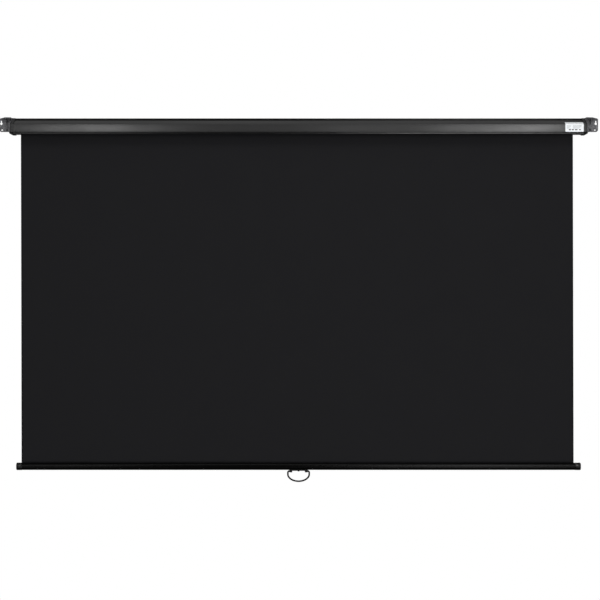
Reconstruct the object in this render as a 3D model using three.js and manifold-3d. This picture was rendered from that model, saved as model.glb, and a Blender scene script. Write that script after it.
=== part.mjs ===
// A pull-down projector screen on a spring roller, drawn down to its full height.
// Sizes are in millimetres. X runs along the housing, -Y faces the room and +Z is up.
// The origin is the middle of the housing's back face, which lies against the wall.
import * as THREE from 'three';
import { mergeVertices } from 'three/addons/utils/BufferGeometryUtils.js';
import Module from 'manifold-3d';

const wasm = await Module();
wasm.setup();

// Clearances
const SEAT_GAP = 0.3; // between two pieces that sit on each other
const RUNNING_GAP = 0.6; // between a piece that turns and what it turns in
const CUT_OVERRUN = 2; // how far a cut passes the face that it opens

// Screen sheet
const SHEET_WIDTH = 2276;
const SHEET_DROP = 1353; // from the housing's underside to the top of the weight bar
const SHEET_THICKNESS = 0.45;
const WRAP_LAYERS = 2; // turns that stay on the roller when the screen is down

// Housing, one roll-formed sheet with a slot along its underside
const CASE_HEIGHT = 64;
const CASE_DEPTH = 66;
const CASE_WALL = 1;
const CASE_BEND = 1.6;
const FACE_HEIGHT = 36; // from the underside up to the sloping facet
const TOP_DEPTH = 21; // flat top, out from the wall
const HEM_HEIGHT = 4.5; // upright step between the sloping facet and the top
const HEM_STEP = 1.5;
const CHAMFER_HEIGHT = 5.2; // lower front edge
const CHAMFER_DEPTH = 4;
const SLOT_WIDTH = 17;
const SLOT_LIP = 3.5; // the slot's edges turn up by this much

// Roller, its axis measured from the wall and from the middle of the housing
const ROLLER_OUT = 31;
const ROLLER_DROP = 6;
const ROLLER_RADIUS = 17;
const ROLLER_WALL = 1;
const ROLLER_OVERHANG = 2.5; // bare tube beyond each edge of the sheet
const PLUG_DEPTH = 20; // how far the end plugs reach into the tube
const PLUG_FLANGE = 3;
const PIN_RADIUS = 4; // round pin, spindle and their bores
const PIN_INSERT = 16; // how much of the round pin sits in its plug
const PIN_PROUD = 1.5; // the pin's and the tang's end beyond the bracket's web
const PIN_END_ROOM = 0.7; // between the pin's plug and the end cap
const RATCHET_END_ROOM = 3.7; // between the ratchet plug and the end cap, for the spindle's tang

// Spring and its spindle, inside the roller at the ratchet end
const SPINDLE_LENGTH = 372; // round part, from the tang towards the middle
const TANG_THICKNESS = 3.2;
const TANG_HEIGHT = 9;
const COLLAR_RADIUS = 13;
const COLLAR_LENGTH = 12;
const ANCHOR_LENGTH = 18;
const ANCHOR_END = 3; // spindle end inside the anchor's blind bore, clear of its floor
const SPRING_RADIUS = 11; // to the middle of the wire
const SPRING_WIRE_RADIUS = 1;
const SPRING_TURNS = 30;
const SPRING_LEG = 3; // straight end of the wire, square to what it meets

// Ratchet and pawls, on the outer face of the ratchet plug
const SHROUD_WALL = 1.5;
const SHROUD_DEPTH = 8;
const RATCHET_RADIUS = 7.5;
const RATCHET_WIDTH = 5;
const PAWL_PIVOT_RADIUS = 11.8; // from the roller axis to a pawl's pin
const PAWL_SPREAD = 45; // degrees round the roller axis, from a pawl's pin to its nose
const PAWL_ELBOW_RADIUS = 11.6; // from the roller axis to a lifted pawl's elbow
const PAWL_BOSS_RADIUS = 2.6;
const PAWL_ARM_RADIUS = 1.6; // half the width of the arm between boss and elbow
const PAWL_NOSE_RADIUS = 1.2;
const PAWL_LIFT = 0.5; // a lifted nose clears the ratchet by this much
const PAWL_PIN_RADIUS = 1.2;
const PAWL_ROOM = 1.1; // between a pawl's boss and the shroud
const PAWL_SWING = 12; // degrees from lifted to caught
const NOTCH_FLOOR_GAP = 0.4;
const NOTCH_CLEARANCE = 0.8;

// Plastic end caps
const CAP_PROUD = 2.5; // beyond the housing at the front, top and underside
const CAP_LENGTH = 13;
const CAP_WALL = 2;
const CAP_END_WALL = 3;
const CAP_PLUG_DEPTH = 15; // how far a cap reaches into the housing
const CAP_BEND = 3;
const CAP_BOSS_RADIUS = 4;
const CAP_BOSS_LENGTH = 7;
const CAP_SCREW_RADIUS = 2;
const CAP_SCREW_HEAD_RADIUS = 4.2;
const CAP_SCREW_HEAD_HEIGHT = 2.4;
const CAP_SCREW_LENGTH = 11;
const CAP_SCREW_INSET = 11; // screws in from the cap's corners
const BUSH_RADIUS = 6.5;
const BUSH_FLANGE_RADIUS = 9;
const BUSH_FLANGE = 2;

// Steel mounting brackets
const PLATE = 3; // steel thickness
const WEB_INSET = 1; // the web stands back from the cap's edge
const EAR_REACH = 58.7; // wall ear, out from the web's inner face
const EAR_TOP = 35; // top of the bracket above the middle of the housing
const EAR_BOTTOM = -20;
const EAR_CORNER = 10;
const SHELF_DEPTH = 44; // ceiling shelf, out from the wall
const SHELF_REACH = 24.5; // width of the shelf's front edge
const SHELF_CORNER = 3;
const GUSSET_DROP = 22;
const GUSSET_TURN = 8; // degrees that the gusset runs outwards on its way to the wall
const KEYHOLE_EDGE = 9.5; // keyhole, in from the ear's outer edge
const KEYHOLE_HEIGHT = 14;
const KEYHOLE_HEAD_RADIUS = 5;
const KEYHOLE_SLOT_WIDTH = 5;
const KEYHOLE_RISE = 10; // from the middle of the head to the middle of the slot's end
const LOCK_HOLE_EDGE = 12.7;
const LOCK_HOLE_HEIGHT = -12;
const LOCK_HOLE_RADIUS = 3.1;
const PLUG_HOLE_EDGE = 33.5;
const PLUG_HOLE_RADIUS = 2.5;
const PLUG_HEAD_RADIUS = 3.4;
const PLUG_HEAD_HEIGHT = 1.8;
const SHELF_HOLE_EDGE = 46;
const SHELF_HOLE_OUT = 24;

// Label on the front face
const LABEL_WIDTH = 75;
const LABEL_END_INSET = 1; // in from the housing's end
const LABEL_RISE = 4.5; // lower edge, above the underside
const LABEL_FOLD = 18.5; // how far it folds over on the sloping facet
const LABEL_THICKNESS = 0.3;

// Weight bar, a slotted tube of oblong section
const BAR_EXTRA = 3; // the bar is longer than the sheet is wide by this much
const BAR_HEIGHT = 29.5;
const BAR_DEPTH = 20;
const BAR_WALL = 1.2;
const BAR_SLOT = 3;
const BAR_CAP_LENGTH = 23;
const BAR_CAP_PROUD = 0.7;
const BAR_CAP_ROUND = 4;
const BAR_CAP_STEM = 16;
const HEM_ROD_RADIUS = 4;
const HEM_ROD_INSET = 5; // hem rod shorter than the hem by this much at each end

// Pull handle
const SADDLE_LENGTH = 76;
const SADDLE_THICKNESS = 3.5;
const SADDLE_ANGLE = 52; // degrees that the saddle wraps to each side of the bar's lowest line
const LUG_SPACING = 63.5; // between the middles of the two lugs
const LUG_WIDTH = 11.5;
const LUG_WALL = 1.8;
const LUG_DROP = 0.9; // pivot axis below the saddle
const WIRE_RADIUS = 3.4;
const BAIL_HALF_WIDTH = 44; // to the middle of the wire
const BAIL_SHOULDER = 13; // widest place, below the pivot axis
const BAIL_BEND = 6;
const BAIL_DROP = 42; // lowest place, below the pivot axis
const HANDLE_SCREW_RADIUS = 1.8;
const HANDLE_SCREW_HEAD_RADIUS = 4;
const HANDLE_SCREW_HEAD_HEIGHT = 2.2;
const HANDLE_SCREW_GRIP = 5; // shank above the saddle's inner face

// Facets of round pieces
const ROUND_SIDES = 32;
const SMALL_SIDES = 16;
const BEND_STEPS = 4;
const HALF_ROUND_STEPS = 12;
const WIRE_SIDES = 10;
const BAIL_STEPS = 56;
const SPRING_SIDES = 5;
const SPRING_STEPS_PER_TURN = 8;
const SPRING_LEG_STEPS = 2;

// Where a screw head's rounded edge passes into its nearly flat top
const DOME_WIDTH_SHARE = 0.8;
const DOME_HEIGHT_SHARE = 0.9;

// Places worked out from the sizes above
const pinEndMargin = ROLLER_OVERHANG + SEAT_GAP + PLUG_FLANGE + PIN_END_ROOM + CAP_PLUG_DEPTH;
const ratchetEndMargin =
  ROLLER_OVERHANG + SEAT_GAP + PLUG_FLANGE + SHROUD_DEPTH + RATCHET_END_ROOM + CAP_PLUG_DEPTH;
const caseEnd = (pinEndMargin + SHEET_WIDTH + ratchetEndMargin) / 2;
const sheetLeft = pinEndMargin - caseEnd;
const sheetRight = caseEnd - ratchetEndMargin;
const caseTop = CASE_HEIGHT / 2;
const caseBottom = -CASE_HEIGHT / 2;
const caseFront = -CASE_DEPTH;
const faceTop = caseBottom + FACE_HEIGHT;
const hemBottom = caseTop - HEM_HEIGHT;
const slopeBack = -TOP_DEPTH - HEM_STEP;
const rollerY = -ROLLER_OUT;
const rollerZ = -ROLLER_DROP;
const tubeLeft = sheetLeft - ROLLER_OVERHANG;
const tubeRight = sheetRight + ROLLER_OVERHANG;
const tubeBore = ROLLER_RADIUS - ROLLER_WALL;
const wrapInner = ROLLER_RADIUS + SEAT_GAP;
const wrapOuter = wrapInner + WRAP_LAYERS * SHEET_THICKNESS;
const sheetY = rollerY + wrapOuter + SEAT_GAP + SHEET_THICKNESS / 2;
const capStart = caseEnd + SEAT_GAP;
const capEnd = capStart + CAP_LENGTH;
const webStart = capEnd + SEAT_GAP;
const webEnd = webStart + PLATE;
const earEnd = webStart + EAR_REACH;
const boreRadius = PIN_RADIUS + SEAT_GAP;
const barEnd = (SHEET_WIDTH + BAR_EXTRA) / 2;
const barTop = caseBottom - SHEET_DROP;
const barRadius = BAR_DEPTH / 2;
const barMiddle = barTop - BAR_HEIGHT / 2;
const barHalfStraight = (BAR_HEIGHT - BAR_DEPTH) / 2;
const barBottom = barTop - BAR_HEIGHT;
const sleeveRadius = HEM_ROD_RADIUS + SEAT_GAP + SHEET_THICKNESS;
const hemZ = barTop - BAR_WALL - SEAT_GAP - sleeveRadius;
const saddleBottom = barBottom - SEAT_GAP - SADDLE_THICKNESS;
const bailZ = saddleBottom - LUG_DROP;
const lugRadius = WIRE_RADIUS + SEAT_GAP + LUG_WALL;
const ratchetStart = tubeRight + SEAT_GAP + PLUG_FLANGE + RUNNING_GAP;
const shroudEnd = tubeRight + SEAT_GAP + PLUG_FLANGE + SHROUD_DEPTH;
const tangStart = shroudEnd + RUNNING_GAP;
const spindleEnd = tangStart - SPINDLE_LENGTH;
const collarEnd = tubeRight - PLUG_DEPTH - RUNNING_GAP;
const collarStart = collarEnd - COLLAR_LENGTH;
const anchorEnd = spindleEnd + ANCHOR_LENGTH - ANCHOR_END;

// Finishes
function finish(color, roughness, metalness) {
  return new THREE.MeshStandardMaterial({ color, roughness, metalness });
}

const paintedCase = finish(0x19191a, 0.38, 0);
const capPlastic = finish(0x1b1b1c, 0.5, 0);
const bracketPaint = finish(0x66666a, 0.55, 0.2);
const labelPaper = finish(0xf2f4f4, 0.6, 0);
const plainSteel = finish(0xa8abad, 0.35, 1);
const blackSteel = finish(0x161616, 0.4, 0.3);
const paleNylon = finish(0xd9d7cf, 0.5, 0);
const sheetCloth = finish(0x1f1f21, 0.9, 0);
const barPaint = finish(0x0c0c0d, 0.22, 0);
const barPlastic = finish(0x111112, 0.3, 0);

// Turns a geometry into a welded solid, facing outwards.
function solidOf(geometry) {
  const bare = geometry.index ? geometry.toNonIndexed() : geometry.clone();
  for (const name of Object.keys(bare.attributes)) {
    if (name !== 'position') bare.deleteAttribute(name);
  }
  const welded = mergeVertices(bare);
  const place = welded.attributes.position;
  const corner = [0, 1, 2].map(() => new THREE.Vector3());
  const kept = [];
  let volume = 0;
  for (let i = 0; i < welded.index.count; i += 3) {
    const [a, b, c] = [0, 1, 2].map((k) => welded.index.getX(i + k));
    if (a === b || b === c || c === a) continue;
    [a, b, c].forEach((v, k) => corner[k].fromBufferAttribute(place, v));
    volume += corner[0].dot(corner[1].clone().cross(corner[2]));
    kept.push(a, b, c);
  }
  if (volume < 0) kept.reverse();
  const mesh = new wasm.Mesh({
    numProp: 3,
    vertProperties: new Float32Array(place.array),
    triVerts: new Uint32Array(kept),
  });
  return new wasm.Manifold(mesh);
}

// Turns a solid back into a geometry.
function geometryOf(solid) {
  const mesh = solid.getMesh();
  const geometry = new THREE.BufferGeometry();
  geometry.setAttribute('position', new THREE.BufferAttribute(new Float32Array(mesh.vertProperties), 3));
  geometry.setIndex(new THREE.BufferAttribute(new Uint32Array(mesh.triVerts), 1));
  geometry.computeVertexNormals();
  return geometry;
}

const join = (...solids) => solids.reduce((a, b) => a.add(b));
const cut = (solid, ...tools) => tools.reduce((a, b) => a.subtract(b), solid);

function piece(name, solid, material) {
  const mesh = new THREE.Mesh(geometryOf(solid), material);
  mesh.name = name;
  return mesh;
}

const vectors = (points) => points.map(([u, v]) => new THREE.Vector2(u, v));

function shapeOf(points, holes = []) {
  const shape = new THREE.Shape(vectors(points));
  shape.holes = holes.map((hole) => new THREE.Path(vectors(hole)));
  return shape;
}

// Directions that an outline drawn in (u, v) and its depth take in space.
const ALONG_X = new THREE.Matrix4().makeBasis(
  new THREE.Vector3(0, 1, 0), new THREE.Vector3(0, 0, 1), new THREE.Vector3(1, 0, 0));
const ALONG_MINUS_Y = new THREE.Matrix4().makeBasis(
  new THREE.Vector3(1, 0, 0), new THREE.Vector3(0, 0, 1), new THREE.Vector3(0, -1, 0));
const ALONG_Z = new THREE.Matrix4();

// An outline extruded from one place to another along a direction.
function prism(shape, from, to, direction, bevel) {
  const options = { depth: to - from, bevelEnabled: false };
  if (bevel) {
    options.depth = to - from - 2 * bevel;
    Object.assign(options, {
      bevelEnabled: true,
      bevelThickness: bevel,
      bevelSize: bevel,
      bevelOffset: -bevel,
      bevelSegments: BEND_STEPS,
    });
  }
  const geometry = new THREE.ExtrudeGeometry(shape, options);
  geometry.translate(0, 0, from + (bevel ?? 0));
  geometry.applyMatrix4(direction);
  return solidOf(geometry);
}

const bar = (shape, from, to, bevel) => prism(shape, from, to, ALONG_X, bevel);
const plate = (shape, from, to) => prism(shape, from, to, ALONG_MINUS_Y);
const slab = (shape, from, to) => prism(shape, from, to, ALONG_Z);

function circle(u, v, radius, sides = SMALL_SIDES) {
  return Array.from({ length: sides }, (_, i) => {
    const turn = (2 * Math.PI * i) / sides;
    return [u + radius * Math.cos(turn), v + radius * Math.sin(turn)];
  });
}

const rectangle = (u0, v0, u1, v1) => [[u0, v0], [u1, v0], [u1, v1], [u0, v1]];

// A round rod along X.
const rod = (y, z, radius, from, to, sides) => bar(shapeOf(circle(y, z, radius, sides)), from, to);

// A ring or stepped round piece about the X axis, from a closed profile of [radius, x] points.
function turned(profile, sides = ROUND_SIDES) {
  const geometry = new THREE.LatheGeometry(vectors([...profile, profile[0]]), sides);
  geometry.applyMatrix4(new THREE.Matrix4().makeBasis(
    new THREE.Vector3(0, 1, 0), new THREE.Vector3(1, 0, 0), new THREE.Vector3(0, 0, -1)));
  return solidOf(geometry);
}

// Replaces each corner [u, v, radius] by an arc. An open line keeps its two ends.
function rounded(corners, closed = true) {
  const points = [];
  corners.forEach(([u, v, radius = 0], i) => {
    const isEnd = !closed && (i === 0 || i === corners.length - 1);
    if (isEnd || radius === 0) {
      points.push([u, v]);
      return;
    }
    const here = new THREE.Vector2(u, v);
    const before = new THREE.Vector2(...corners.at(i - 1).slice(0, 2)).sub(here).normalize();
    const after = new THREE.Vector2(...corners[(i + 1) % corners.length].slice(0, 2)).sub(here).normalize();
    const half = Math.acos(THREE.MathUtils.clamp(before.dot(after), -1, 1)) / 2;
    const middle = before.clone().add(after).normalize();
    const centre = here.clone().addScaledVector(middle, radius / Math.sin(half));
    const first = here.clone().addScaledVector(before, radius / Math.tan(half)).sub(centre);
    const sweep = (Math.PI - 2 * half) * Math.sign(before.cross(after)) * -1;
    for (let step = 0; step <= BEND_STEPS; step += 1) {
      const spoke = first.clone().rotateAround(new THREE.Vector2(), (sweep * step) / BEND_STEPS);
      points.push([centre.x + spoke.x, centre.y + spoke.y]);
    }
  });
  return points;
}

// Moves a line sideways: to its right for a positive distance, with mitred corners.
function offset(points, distance, closed = false) {
  const count = points.length;
  const rightOf = (i, j) => {
    const along = new THREE.Vector2(points[j][0] - points[i][0], points[j][1] - points[i][1]).normalize();
    return new THREE.Vector2(along.y, -along.x);
  };
  return points.map(([u, v], i) => {
    const atStart = !closed && i === 0;
    const atEnd = !closed && i === count - 1;
    const before = atStart ? rightOf(0, 1) : rightOf((i + count - 1) % count, i);
    const after = atEnd ? before : rightOf(i, (i + 1) % count);
    const mitre = before.clone().add(after);
    const scale = distance / (1 + before.dot(after));
    return [u + mitre.x * scale, v + mitre.y * scale];
  });
}

// A bent sheet's section, from its outer line and its thickness to the right of that line.
const sheetSection = (line, thickness) => shapeOf([...line, ...offset(line, thickness).reverse()]);

// Mirrors a solid to the other end of the housing.
const otherEnd = (solid) => solidOf(geometryOf(solid).scale(-1, 1, 1));

// Housing
const slotFront = sheetY - SLOT_WIDTH / 2;
const slotBack = sheetY + SLOT_WIDTH / 2;
const frontCorners = [
  [caseFront + CHAMFER_DEPTH, caseBottom], [caseFront, caseBottom + CHAMFER_HEIGHT], [caseFront, faceTop],
];
const hemCorners = [[slopeBack, hemBottom], [-TOP_DEPTH, hemBottom]];
const backCorners = [[-TOP_DEPTH, caseTop], [0, caseTop], [0, caseBottom]];
const bent = ([y, z]) => [y, z, CASE_BEND];
const caseLine = rounded([
  [slotFront, caseBottom + SLOT_LIP],
  [slotFront, caseBottom, CASE_BEND],
  ...frontCorners.map(bent),
  ...hemCorners,
  ...backCorners.map(bent),
  [slotBack, caseBottom, CASE_BEND],
  [slotBack, caseBottom + SLOT_LIP],
], false);
const caseShell = bar(sheetSection(caseLine, CASE_WALL), -caseEnd, caseEnd);

// The housing's outside, grown by a margin that the wall plane stops
function outlineAround(margin, bend) {
  const corners = [
    ...frontCorners, [slopeBack, hemBottom], [slopeBack, caseTop], [0, caseTop], [0, caseBottom],
  ];
  const grown = offset(corners, -margin, true);
  return rounded(grown.map(([y, z]) => [Math.min(y, 0), z, y > -margin ? 0 : bend]));
}

// The housing's inside, shrunk by a margin from its outer faces and clear of the slot's lips
function outlineWithin(margin) {
  const shrunk = offset([...frontCorners, ...hemCorners, ...backCorners], margin, true);
  const lipY = slotFront - margin;
  const lipZ = caseBottom + SLOT_LIP + margin - CASE_WALL;
  return [...shrunk.slice(0, -1), [shrunk.at(-1)[0], lipZ], [lipY, lipZ], [lipY, shrunk.at(-1)[1]]];
}

// End cap: a cup outside the housing, a plug inside it, and bosses for the bracket's screws
const screwPlaces = [
  [-CAP_SCREW_INSET, caseTop - CAP_SCREW_INSET],
  [caseFront + CAP_SCREW_INSET, caseBottom + CAP_SCREW_INSET],
];

function rightCap(boreY, boreZ, bore) {
  const inCase = CASE_WALL + SEAT_GAP;
  const cup = bar(shapeOf(outlineAround(CAP_PROUD, CAP_BEND)), capStart, capEnd);
  const plug = bar(shapeOf(outlineWithin(inCase)), caseEnd - CAP_PLUG_DEPTH, capStart + CAP_WALL);
  const cupHollow = bar(
    shapeOf(outlineAround(CAP_PROUD - CAP_WALL, CAP_BEND - CAP_WALL)),
    capStart + CAP_WALL, capEnd - CAP_END_WALL);
  const hollow = bar(
    shapeOf(outlineWithin(inCase + CAP_WALL)),
    caseEnd - CAP_PLUG_DEPTH - CUT_OVERRUN, capEnd - CAP_END_WALL);
  const backWall = bar(
    shapeOf(rectangle(-CAP_WALL, caseBottom, 0, caseTop)), capStart, capEnd);
  const bossStart = capEnd - CAP_END_WALL - CAP_BOSS_LENGTH;
  const bosses = screwPlaces.map(([y, z]) => rod(y, z, CAP_BOSS_RADIUS, bossStart, capEnd));
  const pilots = screwPlaces.map(([y, z]) => (
    rod(y, z, CAP_SCREW_RADIUS + SEAT_GAP, bossStart - CUT_OVERRUN, capEnd + CUT_OVERRUN)));
  const opening = rod(boreY, boreZ, bore, bossStart, capEnd + CUT_OVERRUN, ROUND_SIDES);
  return cut(join(cut(join(cup, plug), cupHollow, hollow), backWall, ...bosses), ...pilots, opening);
}

const bushRoom = BUSH_RADIUS + SEAT_GAP;
const endCap = rightCap(rollerY, rollerZ, bushRoom);

// Mounting bracket: a web on the cap's end, a wall ear, a ceiling shelf and a gusset
function rightBracket() {
  const web = bar(shapeOf(outlineAround(CAP_PROUD - WEB_INSET, CAP_BEND - WEB_INSET)), webStart, webEnd);
  const ear = plate(shapeOf(rounded([
    [webStart, EAR_BOTTOM], [earEnd, EAR_BOTTOM, EAR_CORNER], [earEnd, EAR_TOP, PLATE], [webStart, EAR_TOP],
  ])), 0, PLATE);
  const shelf = slab(shapeOf(rounded([
    [webStart, 0], [earEnd - PLATE, 0], [earEnd - PLATE, -PLATE - SHELF_CORNER],
    [webStart + SHELF_REACH, -SHELF_DEPTH, SHELF_CORNER], [webStart, -SHELF_DEPTH, SHELF_CORNER],
  ])), EAR_TOP - PLATE, EAR_TOP);
  const gussetFront = SHELF_CORNER - SHELF_DEPTH;
  const gussetReach = -PLATE / 2 - gussetFront;
  const gussetPlace = new THREE.Matrix4()
    .makeRotationZ(-THREE.MathUtils.degToRad(GUSSET_TURN))
    .setPosition(webStart + SHELF_REACH, gussetFront, EAR_TOP - PLATE / 2)
    .multiply(ALONG_X);
  const gusset = prism(
    shapeOf([[0, 0], [gussetReach, -GUSSET_DROP], [gussetReach, 0]]), -PLATE, 0, gussetPlace);
  const through = [-CUT_OVERRUN, PLATE + CUT_OVERRUN];
  const keyX = earEnd - KEYHOLE_EDGE;
  const keySlotTop = KEYHOLE_HEIGHT + KEYHOLE_RISE;
  const halfSlot = KEYHOLE_SLOT_WIDTH / 2;
  const holes = [
    plate(shapeOf(circle(keyX, KEYHOLE_HEIGHT, KEYHOLE_HEAD_RADIUS)), ...through),
    plate(shapeOf(rectangle(keyX - halfSlot, KEYHOLE_HEIGHT, keyX + halfSlot, keySlotTop)), ...through),
    plate(shapeOf(circle(keyX, keySlotTop, halfSlot)), ...through),
    plate(shapeOf(circle(earEnd - LOCK_HOLE_EDGE, LOCK_HOLE_HEIGHT, LOCK_HOLE_RADIUS)), ...through),
    plate(shapeOf(circle(earEnd - PLUG_HOLE_EDGE, LOCK_HOLE_HEIGHT, PLUG_HOLE_RADIUS)), ...through),
    slab(
      shapeOf(circle(earEnd - SHELF_HOLE_EDGE, -SHELF_HOLE_OUT, LOCK_HOLE_RADIUS)),
      EAR_TOP - PLATE - CUT_OVERRUN, EAR_TOP + CUT_OVERRUN),
    rod(rollerY, rollerZ, bushRoom, webStart - CUT_OVERRUN, webEnd + CUT_OVERRUN, ROUND_SIDES),
    ...screwPlaces.map(([y, z]) => (
      rod(y, z, CAP_SCREW_RADIUS + SEAT_GAP, webStart - CUT_OVERRUN, webEnd + CUT_OVERRUN))),
  ];
  return cut(join(web, ear, shelf, gusset), ...holes);
}

const bracket = rightBracket();

// Screws that hold a bracket to its cap, heads outwards, with a low domed head
function panHead(radius, height, shankRadius, shankLength) {
  return turned([
    [0, -shankLength], [shankRadius, -shankLength], [shankRadius, 0], [radius, 0],
    [radius, height / 2], [radius * DOME_WIDTH_SHARE, height * DOME_HEIGHT_SHARE], [0, height],
  ], SMALL_SIDES);
}

const capScrew = panHead(CAP_SCREW_HEAD_RADIUS, CAP_SCREW_HEAD_HEIGHT, CAP_SCREW_RADIUS, CAP_SCREW_LENGTH);
const screwSeat = webEnd + SEAT_GAP;

// Push-in plug that closes the inner hole of a wall ear, head towards the room
const holePlug = panHead(PLUG_HEAD_RADIUS, PLUG_HEAD_HEIGHT, PLUG_HOLE_RADIUS - SEAT_GAP, PLATE);

// Bushes: a round bore for the pin at the left, a flat one for the tang at the right
const bushEnd = webEnd;
const bushSeat = capEnd - CAP_END_WALL - SEAT_GAP;
const bushBody = turned([
  [0, bushSeat - BUSH_FLANGE], [BUSH_FLANGE_RADIUS, bushSeat - BUSH_FLANGE], [BUSH_FLANGE_RADIUS, bushSeat],
  [BUSH_RADIUS, bushSeat], [BUSH_RADIUS, bushEnd], [0, bushEnd],
]);
const bushSpan = [bushSeat - BUSH_FLANGE - CUT_OVERRUN, bushEnd + CUT_OVERRUN];
const pinBush = cut(bushBody, rod(0, 0, boreRadius, ...bushSpan));
const halfTang = [TANG_THICKNESS / 2, TANG_HEIGHT / 2];
const tangSlot = rectangle(
  -halfTang[0] - SEAT_GAP, -halfTang[1] - SEAT_GAP, halfTang[0] + SEAT_GAP, halfTang[1] + SEAT_GAP);
const tangSocket = cut(bushBody, bar(shapeOf(tangSlot), ...bushSpan));

// Spindle: a round rod inside the spring and a flat tang that the right bracket holds still
const tangEnd = webEnd + PIN_PROUD;
const spindle = join(
  rod(0, 0, PIN_RADIUS, spindleEnd, tangStart),
  bar(
    shapeOf(rectangle(-halfTang[0], -halfTang[1], halfTang[0], halfTang[1])),
    tangStart - SEAT_GAP, tangEnd),
);

// Roller tube, its plugs and the turns of sheet that stay on it
const ring = (outer, inner, sides) => shapeOf(circle(0, 0, outer, sides), [circle(0, 0, inner, sides)]);
const rollerTube = bar(ring(ROLLER_RADIUS, tubeBore, ROUND_SIDES), tubeLeft, tubeRight);
const rollerWrap = bar(ring(wrapOuter, wrapInner, ROUND_SIDES), sheetLeft, sheetRight);
const plugRadius = tubeBore - SEAT_GAP;
const pinPlugFace = tubeLeft - SEAT_GAP - PLUG_FLANGE;
const pinPlug = turned([
  [boreRadius, pinPlugFace], [ROLLER_RADIUS, pinPlugFace], [ROLLER_RADIUS, tubeLeft - SEAT_GAP],
  [plugRadius, tubeLeft - SEAT_GAP], [plugRadius, tubeLeft + PLUG_DEPTH],
  [boreRadius, tubeLeft + PLUG_DEPTH],
]);
const gudgeonPin = rod(0, 0, PIN_RADIUS, -tangEnd, tubeLeft + PIN_INSERT);

// Ratchet plug: a stem in the tube, a flange, and a shroud around the pawls
const pawlAngles = [90, 270];
const flangeStart = tubeRight + SEAT_GAP;
const spindleBore = PIN_RADIUS + RUNNING_GAP;
const pawlPinPlaces = pawlAngles.map((degrees) => {
  const turn = THREE.MathUtils.degToRad(degrees);
  return [PAWL_PIVOT_RADIUS * Math.cos(turn), PAWL_PIVOT_RADIUS * Math.sin(turn)];
});
const shroudBore = PAWL_PIVOT_RADIUS + PAWL_BOSS_RADIUS + PAWL_ROOM;
const shroudRadius = shroudBore + SHROUD_WALL;
const ratchetPlug = cut(turned([
  [spindleBore, tubeRight - PLUG_DEPTH], [plugRadius, tubeRight - PLUG_DEPTH], [plugRadius, flangeStart],
  [shroudRadius, flangeStart], [shroudRadius, shroudEnd], [shroudBore, shroudEnd],
  [shroudBore, flangeStart + PLUG_FLANGE], [spindleBore, flangeStart + PLUG_FLANGE],
]), ...pawlPinPlaces.map(([y, z]) => (
  rod(y, z, PAWL_PIN_RADIUS + SEAT_GAP, flangeStart + PLUG_FLANGE / 2, shroudEnd, SMALL_SIDES))));
const pawlPin = rod(
  0, 0, PAWL_PIN_RADIUS, flangeStart + PLUG_FLANGE / 2 + SEAT_GAP, ratchetStart + RATCHET_WIDTH + SEAT_GAP);

// Places on a pawl, looked at along the roller axis and measured from it, its pin lying along u
const placeAt = (radius, turn) => new THREE.Vector2(radius * Math.cos(turn), radius * Math.sin(turn));
const pawlSpread = THREE.MathUtils.degToRad(PAWL_SPREAD);
const pinPlace = placeAt(PAWL_PIVOT_RADIUS, 0);
const elbowPlace = placeAt(PAWL_ELBOW_RADIUS, -pawlSpread);
const liftedNose = placeAt(RATCHET_RADIUS + PAWL_NOSE_RADIUS + PAWL_LIFT, -pawlSpread);
const caughtNose = liftedNose.clone().rotateAround(pinPlace, -THREE.MathUtils.degToRad(PAWL_SWING));

// Ratchet wheel: a disc with a hooked notch under each pawl's nose
function ratchetOutline() {
  const floor = caughtNose.length() - PAWL_NOSE_RADIUS - NOTCH_FLOOR_GAP;
  const halfNotch = (PAWL_NOSE_RADIUS + NOTCH_CLEARANCE) / floor;
  const points = [];
  const add = (radius, turn) => points.push(placeAt(radius, turn).toArray());
  pawlAngles.forEach((degrees) => {
    const middle = THREE.MathUtils.degToRad(degrees) + (liftedNose.angle() + caughtNose.angle()) / 2;
    const hookSide = middle + halfNotch;
    const rampSide = middle - 2 * halfNotch;
    add(RATCHET_RADIUS, rampSide);
    add(floor, middle - halfNotch);
    add(floor, hookSide);
    const sweep = Math.PI - (hookSide - rampSide);
    for (let step = 0; step < HALF_ROUND_STEPS; step += 1) {
      add(RATCHET_RADIUS, hookSide + (sweep * step) / HALF_ROUND_STEPS);
    }
  });
  return points;
}

const ratchetWheel = bar(
  shapeOf(ratchetOutline(), [circle(0, 0, boreRadius)]), ratchetStart, ratchetStart + RATCHET_WIDTH);

// A straight link with round ends, between two places
function link(from, to, radius) {
  const across = to.clone().sub(from).angle() + Math.PI / 2;
  const halfRound = (place, start) => Array.from({ length: HALF_ROUND_STEPS + 1 }, (_, step) => (
    placeAt(radius, start + (Math.PI * step) / HALF_ROUND_STEPS).add(place).toArray()));
  return shapeOf([...halfRound(from, across), ...halfRound(to, across + Math.PI)]);
}

// Pawl: a boss on its pin, an arm that clears the ratchet and a nose that points inwards
function pawlSolid(degrees) {
  const span = [ratchetStart, ratchetStart + RATCHET_WIDTH];
  const pin = new THREE.Vector2();
  const fromPin = (place) => (
    place.clone().sub(pinPlace).rotateAround(pin, THREE.MathUtils.degToRad(degrees)));
  const elbow = fromPin(elbowPlace);
  return cut(
    join(
      rod(0, 0, PAWL_BOSS_RADIUS, ...span),
      bar(link(pin, elbow, PAWL_ARM_RADIUS), ...span),
      bar(link(elbow, fromPin(liftedNose), PAWL_NOSE_RADIUS), ...span)),
    rod(0, 0, PAWL_PIN_RADIUS + SEAT_GAP, span[0] - CUT_OVERRUN, span[1] + CUT_OVERRUN));
}

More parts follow.
